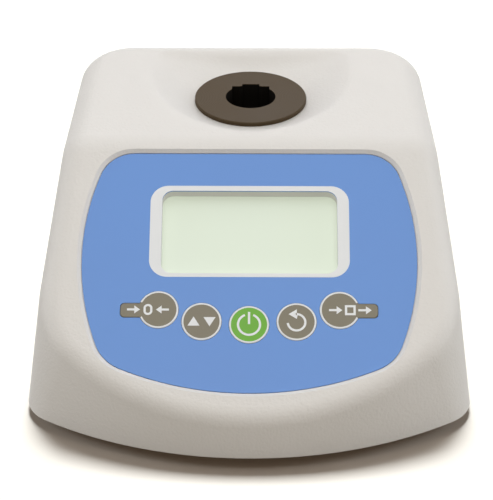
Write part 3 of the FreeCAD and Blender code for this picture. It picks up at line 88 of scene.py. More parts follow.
FLOOR_LAMPS = (
    ("floor_lamp", (0.0, 1.2, 2.27), 0.7, 120.0),
    ("left_floor_lamp", (-1.2, 0.3, 0.4), 0.5, 5.0),
    ("right_floor_lamp", (1.2, 0.3, 0.4), 0.5, 5.0),
)
UNDER_PLACE = (0.04, -0.04, -1.0)
UNDER_SIZE = 0.12
UNDER_WATTS = 6.0
FLOOR_WHITE = (0.78, 0.68, 0.585, 1.0)
FLOOR_BOUNCE = (0.28, 0.235, 0.19, 1.0)
FLOOR_HALF = 6.0
FLOOR_GLOW = (1.0, 0.62, 0.36, 1.0)
FLOOR_LIFT = 0.028
FLOOR_FADE = (0.35, 1.1)


def new_material(name):
    """An empty node material, its node tree and its output node."""
    material = bpy.data.materials.new(name)
    material.use_nodes = True
    tree = material.node_tree
    tree.nodes.clear()
    return material, tree, tree.nodes.new("ShaderNodeOutputMaterial")


def node(tree, kind, **values):
    """A node with its properties, and with its sockets by number where the name starts with an s."""
    made = tree.nodes.new(kind)
    for name, value in values.items():
        if name[0] == "s" and name[1:].isdigit():
            made.inputs[int(name[1:])].default_value = value
        else:
            setattr(made, name, value)
    return made


def maths(tree, operation, *values):
    """A maths node on sockets or plain numbers."""
    made = node(tree, "ShaderNodeMath", operation=operation)
    for place, value in enumerate(values):
        if isinstance(value, (int, float)):
            made.inputs[place].default_value = value
        else:
            tree.links.new(value, made.inputs[place])
    return made.outputs[0]


def seen_directly(tree):
    """1 for camera, glossy and transmission rays, and 0 for the light that falls on things."""
    rays = tree.nodes.new("ShaderNodeLightPath")
    first = maths(tree, "MAXIMUM", rays.outputs["Is Camera Ray"], rays.outputs["Is Glossy Ray"])
    return maths(tree, "MAXIMUM", first, rays.outputs["Is Transmission Ray"])


world = bpy.data.worlds.new("studio")
world.use_nodes = True
scene.world = world
room = world.node_tree
room.nodes.clear()
room_light = node(room, "ShaderNodeBackground", s0=ROOM_LIGHT, s1=ROOM_STRENGTH)
room_seen = node(room, "ShaderNodeBackground", s0=PLAIN_WHITE, s1=1.0)
room_mix = room.nodes.new("ShaderNodeMixShader")
room_out = room.nodes.new("ShaderNodeOutputWorld")
room.links.new(seen_directly(room), room_mix.inputs[0])
room.links.new(room_light.outputs[0], room_mix.inputs[1])
room.links.new(room_seen.outputs[0], room_mix.inputs[2])
room.links.new(room_mix.outputs[0], room_out.inputs[0])


def add_lamp(name, place, target, size, watts, colour):
    """A square soft lamp that looks at a point."""
    light = bpy.data.lights.new(name, "AREA")
    light.shape = "SQUARE"
    light.size = size
    light.energy = watts
    light.color = colour
    lamp = bpy.data.objects.new(name, light)
    lamp.location = place
    lamp.rotation_euler = (Vector(target) - Vector(place)).to_track_quat("-Z", "Y").to_euler()
    scene.collection.objects.link(lamp)
    return lamp


def make_sweep_paper():
    """White paper that fades to plain white far off, dims what it throws back, and is clear from below."""
    material, tree, output = new_material("white_sweep")
    links = tree.links
    looked_at = seen_directly(tree)
    seen = node(tree, "ShaderNodeBsdfDiffuse", s0=FLOOR_WHITE)
    bounce = node(tree, "ShaderNodeBsdfDiffuse", s0=FLOOR_BOUNCE)
    diffuse = tree.nodes.new("ShaderNodeMixShader")
    links.new(looked_at, diffuse.inputs[0])
    links.new(bounce.outputs[0], diffuse.inputs[1])
    links.new(seen.outputs[0], diffuse.inputs[2])
    glow = node(tree, "ShaderNodeEmission", s0=FLOOR_GLOW)
    links.new(maths(tree, "MULTIPLY", looked_at, FLOOR_LIFT), glow.inputs["Strength"])
    lifted = tree.nodes.new("ShaderNodeAddShader")
    links.new(diffuse.outputs[0], lifted.inputs[0])
    links.new(glow.outputs[0], lifted.inputs[1])
    place = tree.nodes.new("ShaderNodeTexCoord")
    reach = node(tree, "ShaderNodeVectorMath", operation="LENGTH")
    fade = tree.nodes.new("ShaderNodeMapRange")
    fade.inputs["From Min"].default_value, fade.inputs["From Max"].default_value = FLOOR_FADE
    links.new(place.outputs["Object"], reach.inputs[0])
    links.new(reach.outputs["Value"], fade.inputs["Value"])
    white = node(tree, "ShaderNodeEmission", s0=PLAIN_WHITE, s1=1.0)
    faded = tree.nodes.new("ShaderNodeMixShader")
    links.new(maths(tree, "MULTIPLY", fade.outputs[0], looked_at), faded.inputs[0])
    links.new(lifted.outputs[0], faded.inputs[1])
    links.new(white.outputs[0], faded.inputs[2])
    clear = tree.nodes.new("ShaderNodeBsdfTransparent")
    side = tree.nodes.new("ShaderNodeNewGeometry")
    sided = tree.nodes.new("ShaderNodeMixShader")
    links.new(side.outputs["Backfacing"], sided.inputs[0])
    links.new(faded.outputs[0], sided.inputs[1])
    links.new(clear.outputs[0], sided.inputs[2])
    links.new(sided.outputs[0], output.inputs[0])
    return material


def mesh_object(name, points, faces, material):
    """A mesh piece at the origin, with its place in its mesh."""
    mesh = bpy.data.meshes.new(name)
    mesh.from_pydata([tuple(point) for point in points], [], faces)
    mesh.update()
    mesh.materials.append(material)
    made = bpy.data.objects.new(name, mesh)
    scene.collection.objects.link(made)
    return made


floor = mesh_object("white_floor", [(-FLOOR_HALF, -FLOOR_HALF, 0), (FLOOR_HALF, -FLOOR_HALF, 0),
                                    (FLOOR_HALF, FLOOR_HALF, 0), (-FLOOR_HALF, FLOOR_HALF, 0)],
                    [(0, 1, 2, 3)], make_sweep_paper())


def floor_list(name, state):
    """A lamp's list that holds only the sweep, to take it in or leave it out."""
    listed = bpy.data.collections.new(name)
    listed.objects.link(floor)
    listed.collection_objects[0].light_linking.link_state = state
    return listed


all_but_floor = floor_list("all_but_floor", "EXCLUDE")
only_floor = floor_list("only_floor", "INCLUDE")
for name, place, size, watts, colour in BODY_LAMPS:
    lamp = add_lamp(name, place, BODY_TARGET, size, watts, colour)
    lamp.light_linking.receiver_collection = all_but_floor
for name, place, size, watts in FLOOR_LAMPS:
    lamp = add_lamp(name, place, FLOOR_TARGET, size, watts, FLOOR_COLOUR)
    lamp.light_linking.receiver_collection = only_floor
underside = bpy.data.collections.new("underside")
for name in ("base_plate", "battery_door", "contact_plates"):
    underside.objects.link(nodes[name])
under_lamp = add_lamp("under_lamp", UNDER_PLACE, FLOOR_TARGET, UNDER_SIZE, UNDER_WATTS, FILL_COLOUR)
under_lamp.data.cycles.max_bounces = 0
under_lamp.light_linking.receiver_collection = underside
under_lamp.light_linking.blocker_collection = all_but_floor


# Upper housing
# One injection moulding in off-white ABS with a fine spark-eroded grain, drafted on every side.
# The dish round the well and the recess of the keypad are moulded in.

HOUSING_COLOUR = (0.775, 0.750, 0.730, 1.0)
HOUSING_SHADE = (0.750, 0.726, 0.705, 1.0)
HOUSING_ROUGHNESS = 0.52
GRAIN_PITCH = 1150.0
GRAIN_RELIEF = 0.00011
GRAIN_DETAIL = 3.0
GRAIN_ROUGHNESS = 0.62
CLOUD_DETAIL = 4.0
CLOUD_COLOUR_SPAN = (0.35, 0.65)
CLOUD_GLOSS_SPAN = (0.3, 0.7)
COAT_ROUGHNESS = 0.12
DISH_STATION = 0.0325
DISH_RADIUS = 0.0203
DISH_RISE = math.tan(math.radians(10.5))
DISH_BACK = 0.0290
DISH_BACK_RISE = 0.14
DISH_BLEND = 0.0010
DISH_EXTRA = 1.5
CROWN_RISE = math.tan(math.radians(4.5))
CROWN_OVER_DISH = 0.00197


def effect_group(name, inputs, outputs):
    """An empty shader node group with named inputs and outputs."""
    group = bpy.data.node_groups.new(name, "ShaderNodeTree")
    for label, kind, value in inputs:
        socket = group.interface.new_socket(name=label, in_out="INPUT", socket_type=kind)
        socket.default_value = value
    for label, kind in outputs:
        group.interface.new_socket(name=label, in_out="OUTPUT", socket_type=kind)
    entry = group.nodes.new("NodeGroupInput")
    leave = group.nodes.new("NodeGroupOutput")
    return group, entry, leave


def make_moulded_grain():
    """Moulded grain: fine height and slow cloudy variation over the piece."""
    group, entry, leave = effect_group(
        "moulded_grain",
        [("Grains per metre", "NodeSocketFloat", 1500.0), ("Clouds per metre", "NodeSocketFloat", 24.0)],
        [("Height", "NodeSocketFloat"), ("Clouds", "NodeSocketFloat")])
    place = group.nodes.new("ShaderNodeTexCoord")
    grain = node(group, "ShaderNodeTexNoise")
    grain.inputs["Detail"].default_value = GRAIN_DETAIL
    grain.inputs["Roughness"].default_value = GRAIN_ROUGHNESS
    cells = node(group, "ShaderNodeTexVoronoi", feature="SMOOTH_F1")
    clouds = node(group, "ShaderNodeTexNoise")
    clouds.inputs["Detail"].default_value = CLOUD_DETAIL
    for texture in (grain, cells, clouds):
        group.links.new(place.outputs["Object"], texture.inputs["Vector"])
    group.links.new(entry.outputs["Grains per metre"], grain.inputs["Scale"])
    group.links.new(entry.outputs["Grains per metre"], cells.inputs["Scale"])
    group.links.new(entry.outputs["Clouds per metre"], clouds.inputs["Scale"])
    height = maths(group, "ADD", grain.outputs[0], maths(group, "MULTIPLY", cells.outputs["Distance"], 0.5))
    group.links.new(height, leave.inputs["Height"])
    group.links.new(clouds.outputs[0], leave.inputs["Clouds"])
    return group


moulded_grain = make_moulded_grain()


def plastic(name, light, dark, roughness, grain_pitch, relief, metallic=0.0, spread=0.06, coat=0.0,
            shine=0.5):
    """A moulded or turned surface: grain in its relief, and slow variation in colour and gloss."""
    material, tree, output = new_material(name)
    shader = tree.nodes.new("ShaderNodeBsdfPrincipled")
    shader.inputs["Metallic"].default_value = metallic
    shader.inputs["Specular IOR Level"].default_value = shine
    shader.inputs["Coat Weight"].default_value = coat
    shader.inputs["Coat Roughness"].default_value = COAT_ROUGHNESS
    grain = tree.nodes.new("ShaderNodeGroup")
    grain.node_tree = moulded_grain
    grain.inputs["Grains per metre"].default_value = grain_pitch
    colour = node(tree, "ShaderNodeMix", data_type="RGBA")
    colour.inputs["A"].default_value = dark
    colour.inputs["B"].default_value = light
    contrast = tree.nodes.new("ShaderNodeMapRange")
    contrast.inputs["From Min"].default_value, contrast.inputs["From Max"].default_value = CLOUD_COLOUR_SPAN
    gloss = tree.nodes.new("ShaderNodeMapRange")
    gloss.inputs["From Min"].default_value, gloss.inputs["From Max"].default_value = CLOUD_GLOSS_SPAN
    gloss.inputs["To Min"].default_value = roughness - spread
    gloss.inputs["To Max"].default_value = roughness + spread
    bump = tree.nodes.new("ShaderNodeBump")
    bump.inputs["Strength"].default_value = 1.0
    bump.inputs["Distance"].default_value = relief
    links = tree.links
    links.new(grain.outputs["Clouds"], contrast.inputs["Value"])
    links.new(contrast.outputs[0], colour.inputs["Factor"])
    links.new(colour.outputs["Result"], shader.inputs["Base Color"])
    links.new(grain.outputs["Clouds"], gloss.inputs["Value"])
    links.new(gloss.outputs[0], shader.inputs["Roughness"])
    links.new(grain.outputs["Height"], bump.inputs["Height"])
    links.new(bump.outputs[0], shader.inputs["Normal"])
    links.new(shader.outputs[0], output.inputs[0])
    return material


def deepen_dish(material):
    """Shade the dish as if it were deeper: its depth below the crown is the height of a bump."""
    tree = material.node_tree
    grain_bump = next(made for made in tree.nodes if made.type == "BUMP")
    place = tree.nodes.new("ShaderNodeTexCoord")
    parts = tree.nodes.new("ShaderNodeSeparateXYZ")
    tree.links.new(place.outputs["Object"], parts.inputs[0])
    across = parts.outputs["X"]
    behind = maths(tree, "SUBTRACT", parts.outputs["Y"], DISH_STATION)
    reach = maths(tree, "SQRT", maths(tree, "ADD", maths(tree, "MULTIPLY", across, across),
                                      maths(tree, "MULTIPLY", behind, behind)))
    cone = maths(tree, "MULTIPLY", maths(tree, "SUBTRACT", reach, DISH_RADIUS), DISH_RISE)
    crown = maths(tree, "MULTIPLY_ADD", behind, CROWN_RISE, CROWN_OVER_DISH)
    back = maths(tree, "MULTIPLY", maths(tree, "SUBTRACT", DISH_BACK, behind), DISH_BACK_RISE)
    below = maths(tree, "SMOOTH_MIN", maths(tree, "SUBTRACT", crown, cone), back, DISH_BLEND)
    depth = maths(tree, "SMOOTH_MAX", below, 0.0, DISH_BLEND)
    bump = node(tree, "ShaderNodeBump", invert=True)
    bump.inputs["Strength"].default_value = 1.0
    bump.inputs["Distance"].default_value = DISH_EXTRA
    tree.links.new(depth, bump.inputs["Height"])
    tree.links.new(bump.outputs[0], grain_bump.inputs["Normal"])


def finish_node(name, material):
    """Give a CAD node its material."""
    piece = nodes[name]
    piece.data.materials.clear()
    piece.data.materials.append(material)
    return piece


housing_plastic = plastic("housing_plastic", HOUSING_COLOUR, HOUSING_SHADE, HOUSING_ROUGHNESS, GRAIN_PITCH,
                          GRAIN_RELIEF)
deepen_dish(housing_plastic)
finish_node("upper_housing", housing_plastic)


# Keypad overlay
# A polyester film 0.6 mm thick, printed on its back in blue and glued into its recess. The pale
# band round the window is part of the print.

BLUE = (0.126, 0.290, 0.700, 1.0)
BLUE_SHADE = (0.120, 0.280, 0.682, 1.0)
PRINT_WHITE = (0.82, 0.835, 0.86, 1.0)
PRINT_SHADE = (0.80, 0.815, 0.84, 1.0)
PANEL_SLOPE = math.radians(34.4)
PANEL_ORIGIN = (0.0, -0.047216, 0.034497)
MM = 0.001
PRINT_THICKNESS = 0.03
WINDOW_MIDDLE = 31.0
WINDOW_SIZE = (56.3, 28.85, 3.5)
BAND_MIDDLE = 31.25
BAND_SIZE = (63.8, 31.9, 5.8)
CORNER_STEPS = 16

film_blue = plastic("film_blue", BLUE, BLUE_SHADE, 0.42, 2600.0, 0.00001, spread=0.04)
print_white = plastic("print_white", PRINT_WHITE, PRINT_SHADE, 0.45, 2600.0, 0.00001, spread=0.03)
finish_node("keypad_overlay", film_blue)

panel_to_row = (Matrix.Translation(PANEL_ORIGIN) @ Matrix.Rotation(PANEL_SLOPE, 4, "X")
                @ Matrix.Scale(MM, 4))


def round_rectangle(middle, size):
    """A loop of points round a rectangle with rounded corners, in millimetres on the panel."""
    width, height, corner = size
    loop = []
    for quarter, (side, end) in enumerate(((1, 1), (-1, 1), (-1, -1), (1, -1))):
        x = middle[0] + side * (width / 2 - corner)
        y = middle[1] + end * (height / 2 - corner)
        for step in range(CORNER_STEPS + 1):
            angle = math.pi / 2 * (quarter + step / CORNER_STEPS)
            loop.append((x + corner * math.cos(angle), y + corner * math.sin(angle)))
    return loop


def panel_print(name, loops, low, thickness, material):
    """A flat shape on the sloping panel, with holes where its loops lie in each other."""
    curve = bpy.data.curves.new(name, "CURVE")
    curve.dimensions = "2D"
    curve.fill_mode = "BOTH"
    curve.extrude = thickness / 2
    for loop in loops:
        spline = curve.splines.new("POLY")
        spline.points.add(len(loop) - 1)
        spline.use_cyclic_u = True
        for point, (x, y) in zip(spline.points, loop):
            point.co = (x, y, 0.0, 1.0)
    drawn = bpy.data.objects.new(name + "_drawn", curve)
    scene.collection.objects.link(drawn)
    bpy.context.view_layer.update()
    mesh = bpy.data.meshes.new_from_object(drawn.evaluated_get(bpy.context.evaluated_depsgraph_get()))
    bpy.data.objects.remove(drawn)
    mesh.name = name
    mesh.transform(panel_to_row @ Matrix.Translation((0.0, 0.0, low + thickness / 2)))
    mesh.materials.clear()
    mesh.materials.append(material)
    made = bpy.data.objects.new(name, mesh)
    scene.collection.objects.link(made)
    return made


window_band = panel_print("window_band", [round_rectangle((0.0, BAND_MIDDLE), BAND_SIZE),
                                          round_rectangle((0.0, WINDOW_MIDDLE), WINDOW_SIZE)],
                          0.0, PRINT_THICKNESS, print_white)
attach(window_band, "case")


# Keys
# Five flush keys moulded in coloured plastic. Each has a white ring printed round its edge, left
# out where a tab crosses it, and a white sign. The middle key is green.

KEY_BROWN = (0.200, 0.178, 0.128, 1.0)
KEY_BROWN_SHADE = (0.185, 0.164, 0.117, 1.0)
KEY_GREEN = (0.135, 0.400, 0.022, 1.0)
KEY_GREEN_SHADE = (0.125, 0.375, 0.020, 1.0)
KEY_TOP = 0.15
KEY_RADIUS = 6.27
RING_INNER = 5.68
RING_LIFT = 0.02
CROWN = 0.25
RING_STEPS = 96
TAB_HALF_ANGLE = math.radians(24.5)
ROUND_STEPS = 6
RING_SHARP = math.radians(35)
STROKE = 0.72
POWER_RADIUS = 3.45
POWER_GAP = math.radians(22)
POWER_BAR = 4.1
POWER_BAR_RISE = 2.2
ARROW_HEAD = 1.8
ARROW_HALF = 1.35
ZERO = (2.8, 3.7, 1.35)
ZERO_HOLE = (ZERO[0] - 2 * STROKE, ZERO[1] - 2 * STROKE, 0.6)
SAMPLE_BOX = 3.4
STEP_INNER = 0.6
STEP_MIDDLE = 2.5
STEP_OUTER = 4.4
STEP_BASE = 1.45
STEP_TIP = 1.65
RETURN_RADIUS = 2.75
RETURN_DROP = 0.2
RETURN_SWEEP = (math.radians(-175), math.radians(95))
RETURN_HEAD = ((0.1, 4.2), (0.1, 0.9), (-2.5, 2.55))
SIGN_ASIDE = 3.3
KEYS = (
    ("left_outer", -28.5, 4.07, -1),
    ("left_inner", -14.9, 0.13, 0),
    ("power", 0.0, -0.88, 0),
    ("right_inner", 14.9, 0.13, 0),
    ("right_outer", 28.5, 4.07, 1),
)

key_brown = plastic("key_brown", KEY_BROWN, KEY_BROWN_SHADE, 0.5, 2200.0, 0.000012)
key_green = plastic("key_green", KEY_GREEN, KEY_GREEN_SHADE, 0.46, 2200.0, 0.000012)
plunger_black = plastic("plunger_black", (0.03, 0.03, 0.03, 1.0), (0.025, 0.025, 0.025, 1.0),
                        0.5, 2200.0, 0.00001)


def ring_profile():
    """The ring's cross-section: it lies on the key's top and follows its rounded rim."""
    middle = KEY_RADIUS - CROWN
    outer = CROWN + RING_LIFT
    section = [(RING_INNER, KEY_TOP - RING_LIFT), (RING_INNER, KEY_TOP + RING_LIFT)]
    for step in range(ROUND_STEPS + 1):
        angle = math.pi / 2 * step / ROUND_STEPS
        section.append((middle + outer * math.sin(angle), KEY_TOP - CROWN + outer * math.cos(angle)))
    section.append((middle, KEY_TOP - CROWN))
    return section


def key_ring(name, x, y, side):
    """The printed ring of one key, whole or open where its tab leaves."""
    section = ring_profile()
    open_half = TAB_HALF_ANGLE if side else 0.0
    start = (0.0 if side > 0 else math.pi) + open_half
    sweep = 2 * math.pi - 2 * open_half
    rows = RING_STEPS + (1 if side else 0)
    points = []
    for step in range(rows):
        angle = start + sweep * step / RING_STEPS
        for radius, height in section:
            flat = Vector((x + radius * math.cos(angle), y + radius * math.sin(angle), height))
            points.append(panel_to_row @ flat)
    count = len(section)
    faces = []
    for step in range(RING_STEPS):
        near = step * count
        far = ((step + 1) % rows) * count
        for index in range(count):
            after = (index + 1) % count
            faces.append((near + index, far + index, far + after, near + after))
    if side:
        faces.append(tuple(range(count)))
        faces.append(tuple(range((rows - 1) * count, rows * count))[::-1])
    made = mesh_object(name, points, faces, print_white)
    outward = bmesh.new()
    outward.from_mesh(made.data)
    bmesh.ops.recalc_face_normals(outward, faces=outward.faces)
    outward.to_mesh(made.data)
    outward.free()
    made.data.shade_smooth()
    made.data.set_sharp_from_angle(angle=RING_SHARP)
    return made


def bar(x, y, width, height):
    """A rectangular loop."""
    return [(x - width / 2, y - height / 2), (x + width / 2, y - height / 2),
            (x + width / 2, y + height / 2), (x - width / 2, y + height / 2)]


def open_ring(x, y, radius, start, end, steps=40):
    """A loop round a thick arc."""
    turns = [start + (end - start) * step / steps for step in range(steps + 1)]
    outside = [(x + (radius + STROKE / 2) * math.cos(turn), y + (radius + STROKE / 2) * math.sin(turn))
               for turn in turns]
    inside = [(x + (radius - STROKE / 2) * math.cos(turn), y + (radius - STROKE / 2) * math.sin(turn))
              for turn in reversed(turns)]
    return outside + inside


def arrow(x, y, length, way):
    """A short arrow with a solid head that points left or right from its tail at x."""
    tip = x + way * length
    head = x + way * (length - ARROW_HEAD)
    loop = [(x, y - STROKE / 2), (head, y - STROKE / 2), (head, y - ARROW_HALF), (tip, y),
            (head, y + ARROW_HALF), (head, y + STROKE / 2), (x, y + STROKE / 2)]
    return loop if way > 0 else loop[::-1]


def key_signs(name, x, y):
    """The white sign of each key."""
    if name == "power":
        return [open_ring(x, y, POWER_RADIUS, math.pi / 2 + POWER_GAP, 5 * math.pi / 2 - POWER_GAP),
                bar(x, y + POWER_BAR_RISE, STROKE, POWER_BAR)]
    if name == "left_outer":
        middle = x - SIGN_ASIDE
        return [arrow(middle - 6.6, y, 4.1, 1), arrow(middle + 6.6, y, 4.1, -1),
                round_rectangle((middle, y), ZERO), round_rectangle((middle, y), ZERO_HOLE)]
    if name == "left_inner":
        return [[(x - way * STEP_OUTER, y - way * STEP_BASE), (x - way * STEP_INNER, y - way * STEP_BASE),
                 (x - way * STEP_MIDDLE, y + way * STEP_TIP)] for way in (1, -1)]
    if name == "right_inner":
        return [open_ring(x, y - RETURN_DROP, RETURN_RADIUS, *RETURN_SWEEP),
                [(x + across, y + up) for across, up in RETURN_HEAD]]
    middle = x + SIGN_ASIDE
    return [arrow(middle - 6.7, y, 4.2, 1), arrow(middle + 2.5, y, 4.2, 1),
            bar(middle, y, SAMPLE_BOX, SAMPLE_BOX),
            bar(middle, y, SAMPLE_BOX - 2 * STROKE, SAMPLE_BOX - 2 * STROKE)]


for name, x, y, side in KEYS:
    body = name + "_key_body"
    green = name == "power"
    finish_node(name + "_key", key_green if green else key_brown)
    finish_node(name + "_plunger", plunger_black)
    ring_piece = key_ring(name + "_ring", x, y, side)
    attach(ring_piece, body)
    sign = panel_print(name + "_sign", key_signs(name, x, y), KEY_TOP, PRINT_THICKNESS, print_white)
    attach(sign, body)


# Display
# A reflective liquid crystal cell behind the window, pale green and blank with the power off. It
# carries a faint painted glow that lifts it where the window's walls shade it. Its tinned frame,
# light guide and board are behind the panel.

LCD_GREEN = (0.40, 0.445, 0.365, 1.0)
LCD_GREEN_SHADE = (0.395, 0.435, 0.370, 1.0)
# Painted light: the blank cell's faint glow, which lifts it where the window's walls shade it.
LCD_PAINTED_GLOW = (0.90, 1.0, 0.83, 1.0)
LCD_PAINTED_GLOW_STRENGTH = 0.38

lcd_green = plastic("lcd_green", LCD_GREEN, LCD_GREEN_SHADE, 0.35, 3000.0, 0.000004)
tinned_steel = plastic("tinned_steel", (0.60, 0.60, 0.59, 1.0), (0.52, 0.52, 0.51, 1.0),
                       0.3, 1800.0, 0.000006, metallic=1.0)
milky_plastic = plastic("milky_plastic", (0.85, 0.86, 0.85, 1.0), (0.8, 0.81, 0.8, 1.0),
                        0.3, 1800.0, 0.000006)
board_green = plastic("board_green", (0.03, 0.17, 0.06, 1.0), (0.02, 0.12, 0.045, 1.0), 0.3, 900.0, 0.00002,
                      coat=0.5)
switch_black = plastic("switch_black", (0.02, 0.02, 0.022, 1.0), (0.016, 0.016, 0.018, 1.0),
                       0.45, 2200.0, 0.00001)
# The cell gives off a painted glow, though no lamp is in it.
lcd_shader = next(made for made in lcd_green.node_tree.nodes if made.type == "BSDF_PRINCIPLED")
lcd_shader.inputs["Emission Color"].default_value = LCD_PAINTED_GLOW
lcd_shader.inputs["Emission Strength"].default_value = LCD_PAINTED_GLOW_STRENGTH
finish_node("lcd_glass", lcd_green)
finish_node("lcd_bezel", tinned_steel)
finish_node("lcd_light_guide", milky_plastic)
finish_node("lcd_board", board_green)
finish_node("lcd_screws", tinned_steel)
finish_node("switch_board", board_green)
finish_node("switch_board_screws", tinned_steel)
finish_node("tactile_switches", switch_black)


# Sample well
# A turned and milled socket in brown-black acetal: a wide flange on a gasket, a round bore with a
# square cuvette slot and a keyway behind it, and a slotted nut that pulls it down from below.

SOCKET_BROWN = (0.074, 0.050, 0.026, 1.0)
SOCKET_BROWN_SHADE = (0.064, 0.043, 0.022, 1.0)
# Painted shade: the near-black that fills the bore below its mouth.
WELL_PAINTED_SHADE = (0.004, 0.003, 0.002, 1.0)
WELL_CENTRE = (0.0, 0.0325, 0.0)
WELL_RADIUS = 0.0115
WELL_MOUTH = 0.0722
TOOL_MARKS = 1900.0
TOOL_MARK_HEIGHT = 0.000012

socket_brown = plastic("socket_brown", SOCKET_BROWN, SOCKET_BROWN_SHADE, 0.55, 2400.0, 0.00002, shine=0.12)


def paint_well_shade(material):
    """Painted shade: near-black inside the bore below its mouth, and fine turning marks."""
    tree = material.node_tree
    shader = next(made for made in tree.nodes if made.type == "BSDF_PRINCIPLED")
    brown = shader.inputs["Base Color"].links[0].from_socket
    relief = shader.inputs["Normal"].links[0].from_node
    place = tree.nodes.new("ShaderNodeTexCoord")
    centred = tree.nodes.new("ShaderNodeVectorMath")
    centred.operation = "SUBTRACT"
    centred.inputs[1].default_value = WELL_CENTRE
    flat = node(tree, "ShaderNodeVectorMath", operation="MULTIPLY")
    flat.inputs[1].default_value = (1.0, 1.0, 0.0)
    reach = node(tree, "ShaderNodeVectorMath", operation="LENGTH")
    near = node(tree, "ShaderNodeMath", operation="LESS_THAN", s1=WELL_RADIUS)
    parts = tree.nodes.new("ShaderNodeSeparateXYZ")
    below = node(tree, "ShaderNodeMath", operation="LESS_THAN", s1=WELL_MOUTH)
    # Painted shade: inside the bore's reach and below its mouth, the colour turns near-black.
    inside = node(tree, "ShaderNodeMath", operation="MULTIPLY")
    colour = node(tree, "ShaderNodeMix", data_type="RGBA")
    colour.inputs["B"].default_value = WELL_PAINTED_SHADE
    turns = node(tree, "ShaderNodeMath", operation="MULTIPLY", s1=TOOL_MARKS * 2 * math.pi)
    marks = node(tree, "ShaderNodeMath", operation="SINE")
    marked = node(tree, "ShaderNodeBump")
    marked.inputs["Strength"].default_value = 1.0
    marked.inputs["Distance"].default_value = TOOL_MARK_HEIGHT
    links = tree.links
    links.new(place.outputs["Object"], centred.inputs[0])
    links.new(centred.outputs[0], flat.inputs[0])
    links.new(flat.outputs[0], reach.inputs[0])
    links.new(reach.outputs["Value"], near.inputs[0])
    links.new(place.outputs["Object"], parts.inputs[0])
    links.new(parts.outputs["Z"], below.inputs[0])
    links.new(near.outputs[0], inside.inputs[0])
    links.new(below.outputs[0], inside.inputs[1])
    links.new(inside.outputs[0], colour.inputs["Factor"])
    links.new(brown, colour.inputs["A"])
    links.new(colour.outputs["Result"], shader.inputs["Base Color"])
    links.new(reach.outputs["Value"], turns.inputs[0])
    links.new(turns.outputs[0], marks.inputs[0])
    links.new(marks.outputs[0], marked.inputs["Height"])
    links.new(relief.outputs[0], marked.inputs["Normal"])
    links.new(marked.outputs[0], shader.inputs["Normal"])


paint_well_shade(socket_brown)
seal_black = plastic("seal_black", (0.02, 0.02, 0.02, 1.0), (0.016, 0.016, 0.016, 1.0),
                     0.7, 1800.0, 0.00002)
spring_steel = plastic("spring_steel", (0.58, 0.57, 0.55, 1.0), (0.5, 0.49, 0.47, 1.0),
                       0.28, 1500.0, 0.000004, metallic=1.0)
finish_node("sample_socket", socket_brown)
finish_node("socket_nut", socket_brown)
finish_node("socket_seal", seal_black)
finish_node("well_pad", seal_black)
finish_node("cuvette_spring", spring_steel)


# Optics
# A black collar clamped round the socket, with a lamp on one side of the light path and a detector
# on the other, each on its own small board.

clear_epoxy = plastic("clear_epoxy", (0.80, 0.81, 0.83, 1.0), (0.74, 0.75, 0.78, 1.0),
                      0.12, 1500.0, 0.000003, coat=0.6)
finish_node("optics_collar", switch_black)
finish_node("optics_screws", tinned_steel)
finish_node("emitter_led", clear_epoxy)
finish_node("detector_photodiode", clear_epoxy)
finish_node("emitter_board", board_green)
finish_node("detector_board", board_green)


# Base plate and battery door
# Two mouldings in the housing's plastic, a shade darker. The plate closes the case from below, and
# the door turns on two pins at the front of the battery bay. Three ribs cross its finger grip.

BASE_COLOUR = (0.66, 0.645, 0.61, 1.0)
BASE_SHADE = (0.63, 0.615, 0.58, 1.0)
RIB_LENGTH = 0.0125
RIB_RADIUS = 0.00055
RIB_ROWS = (0.0055, 0.0070, 0.0085)
GRIP_FLOOR = 0.0043
SIDES = 40
POST_RINGS = 37
POST_SHARP = math.radians(32)
ALONG_X = (0.0, math.pi / 2, 0.0)
ALONG_Y = (-math.pi / 2, 0.0, 0.0)


def shape_tree(name, inputs):
    """An empty geometry node tree with named inputs, its entry and its exit."""
    tree = bpy.data.node_groups.new(name, "GeometryNodeTree")
    for label, kind, value in inputs:
        socket = tree.interface.new_socket(name=label, in_out="INPUT", socket_type="NodeSocket" + kind)
        if value is not None:
            socket.default_value = value
    tree.interface.new_socket(name="Geometry", in_out="OUTPUT", socket_type="NodeSocketGeometry")
    return tree, tree.nodes.new("NodeGroupInput"), tree.nodes.new("NodeGroupOutput")


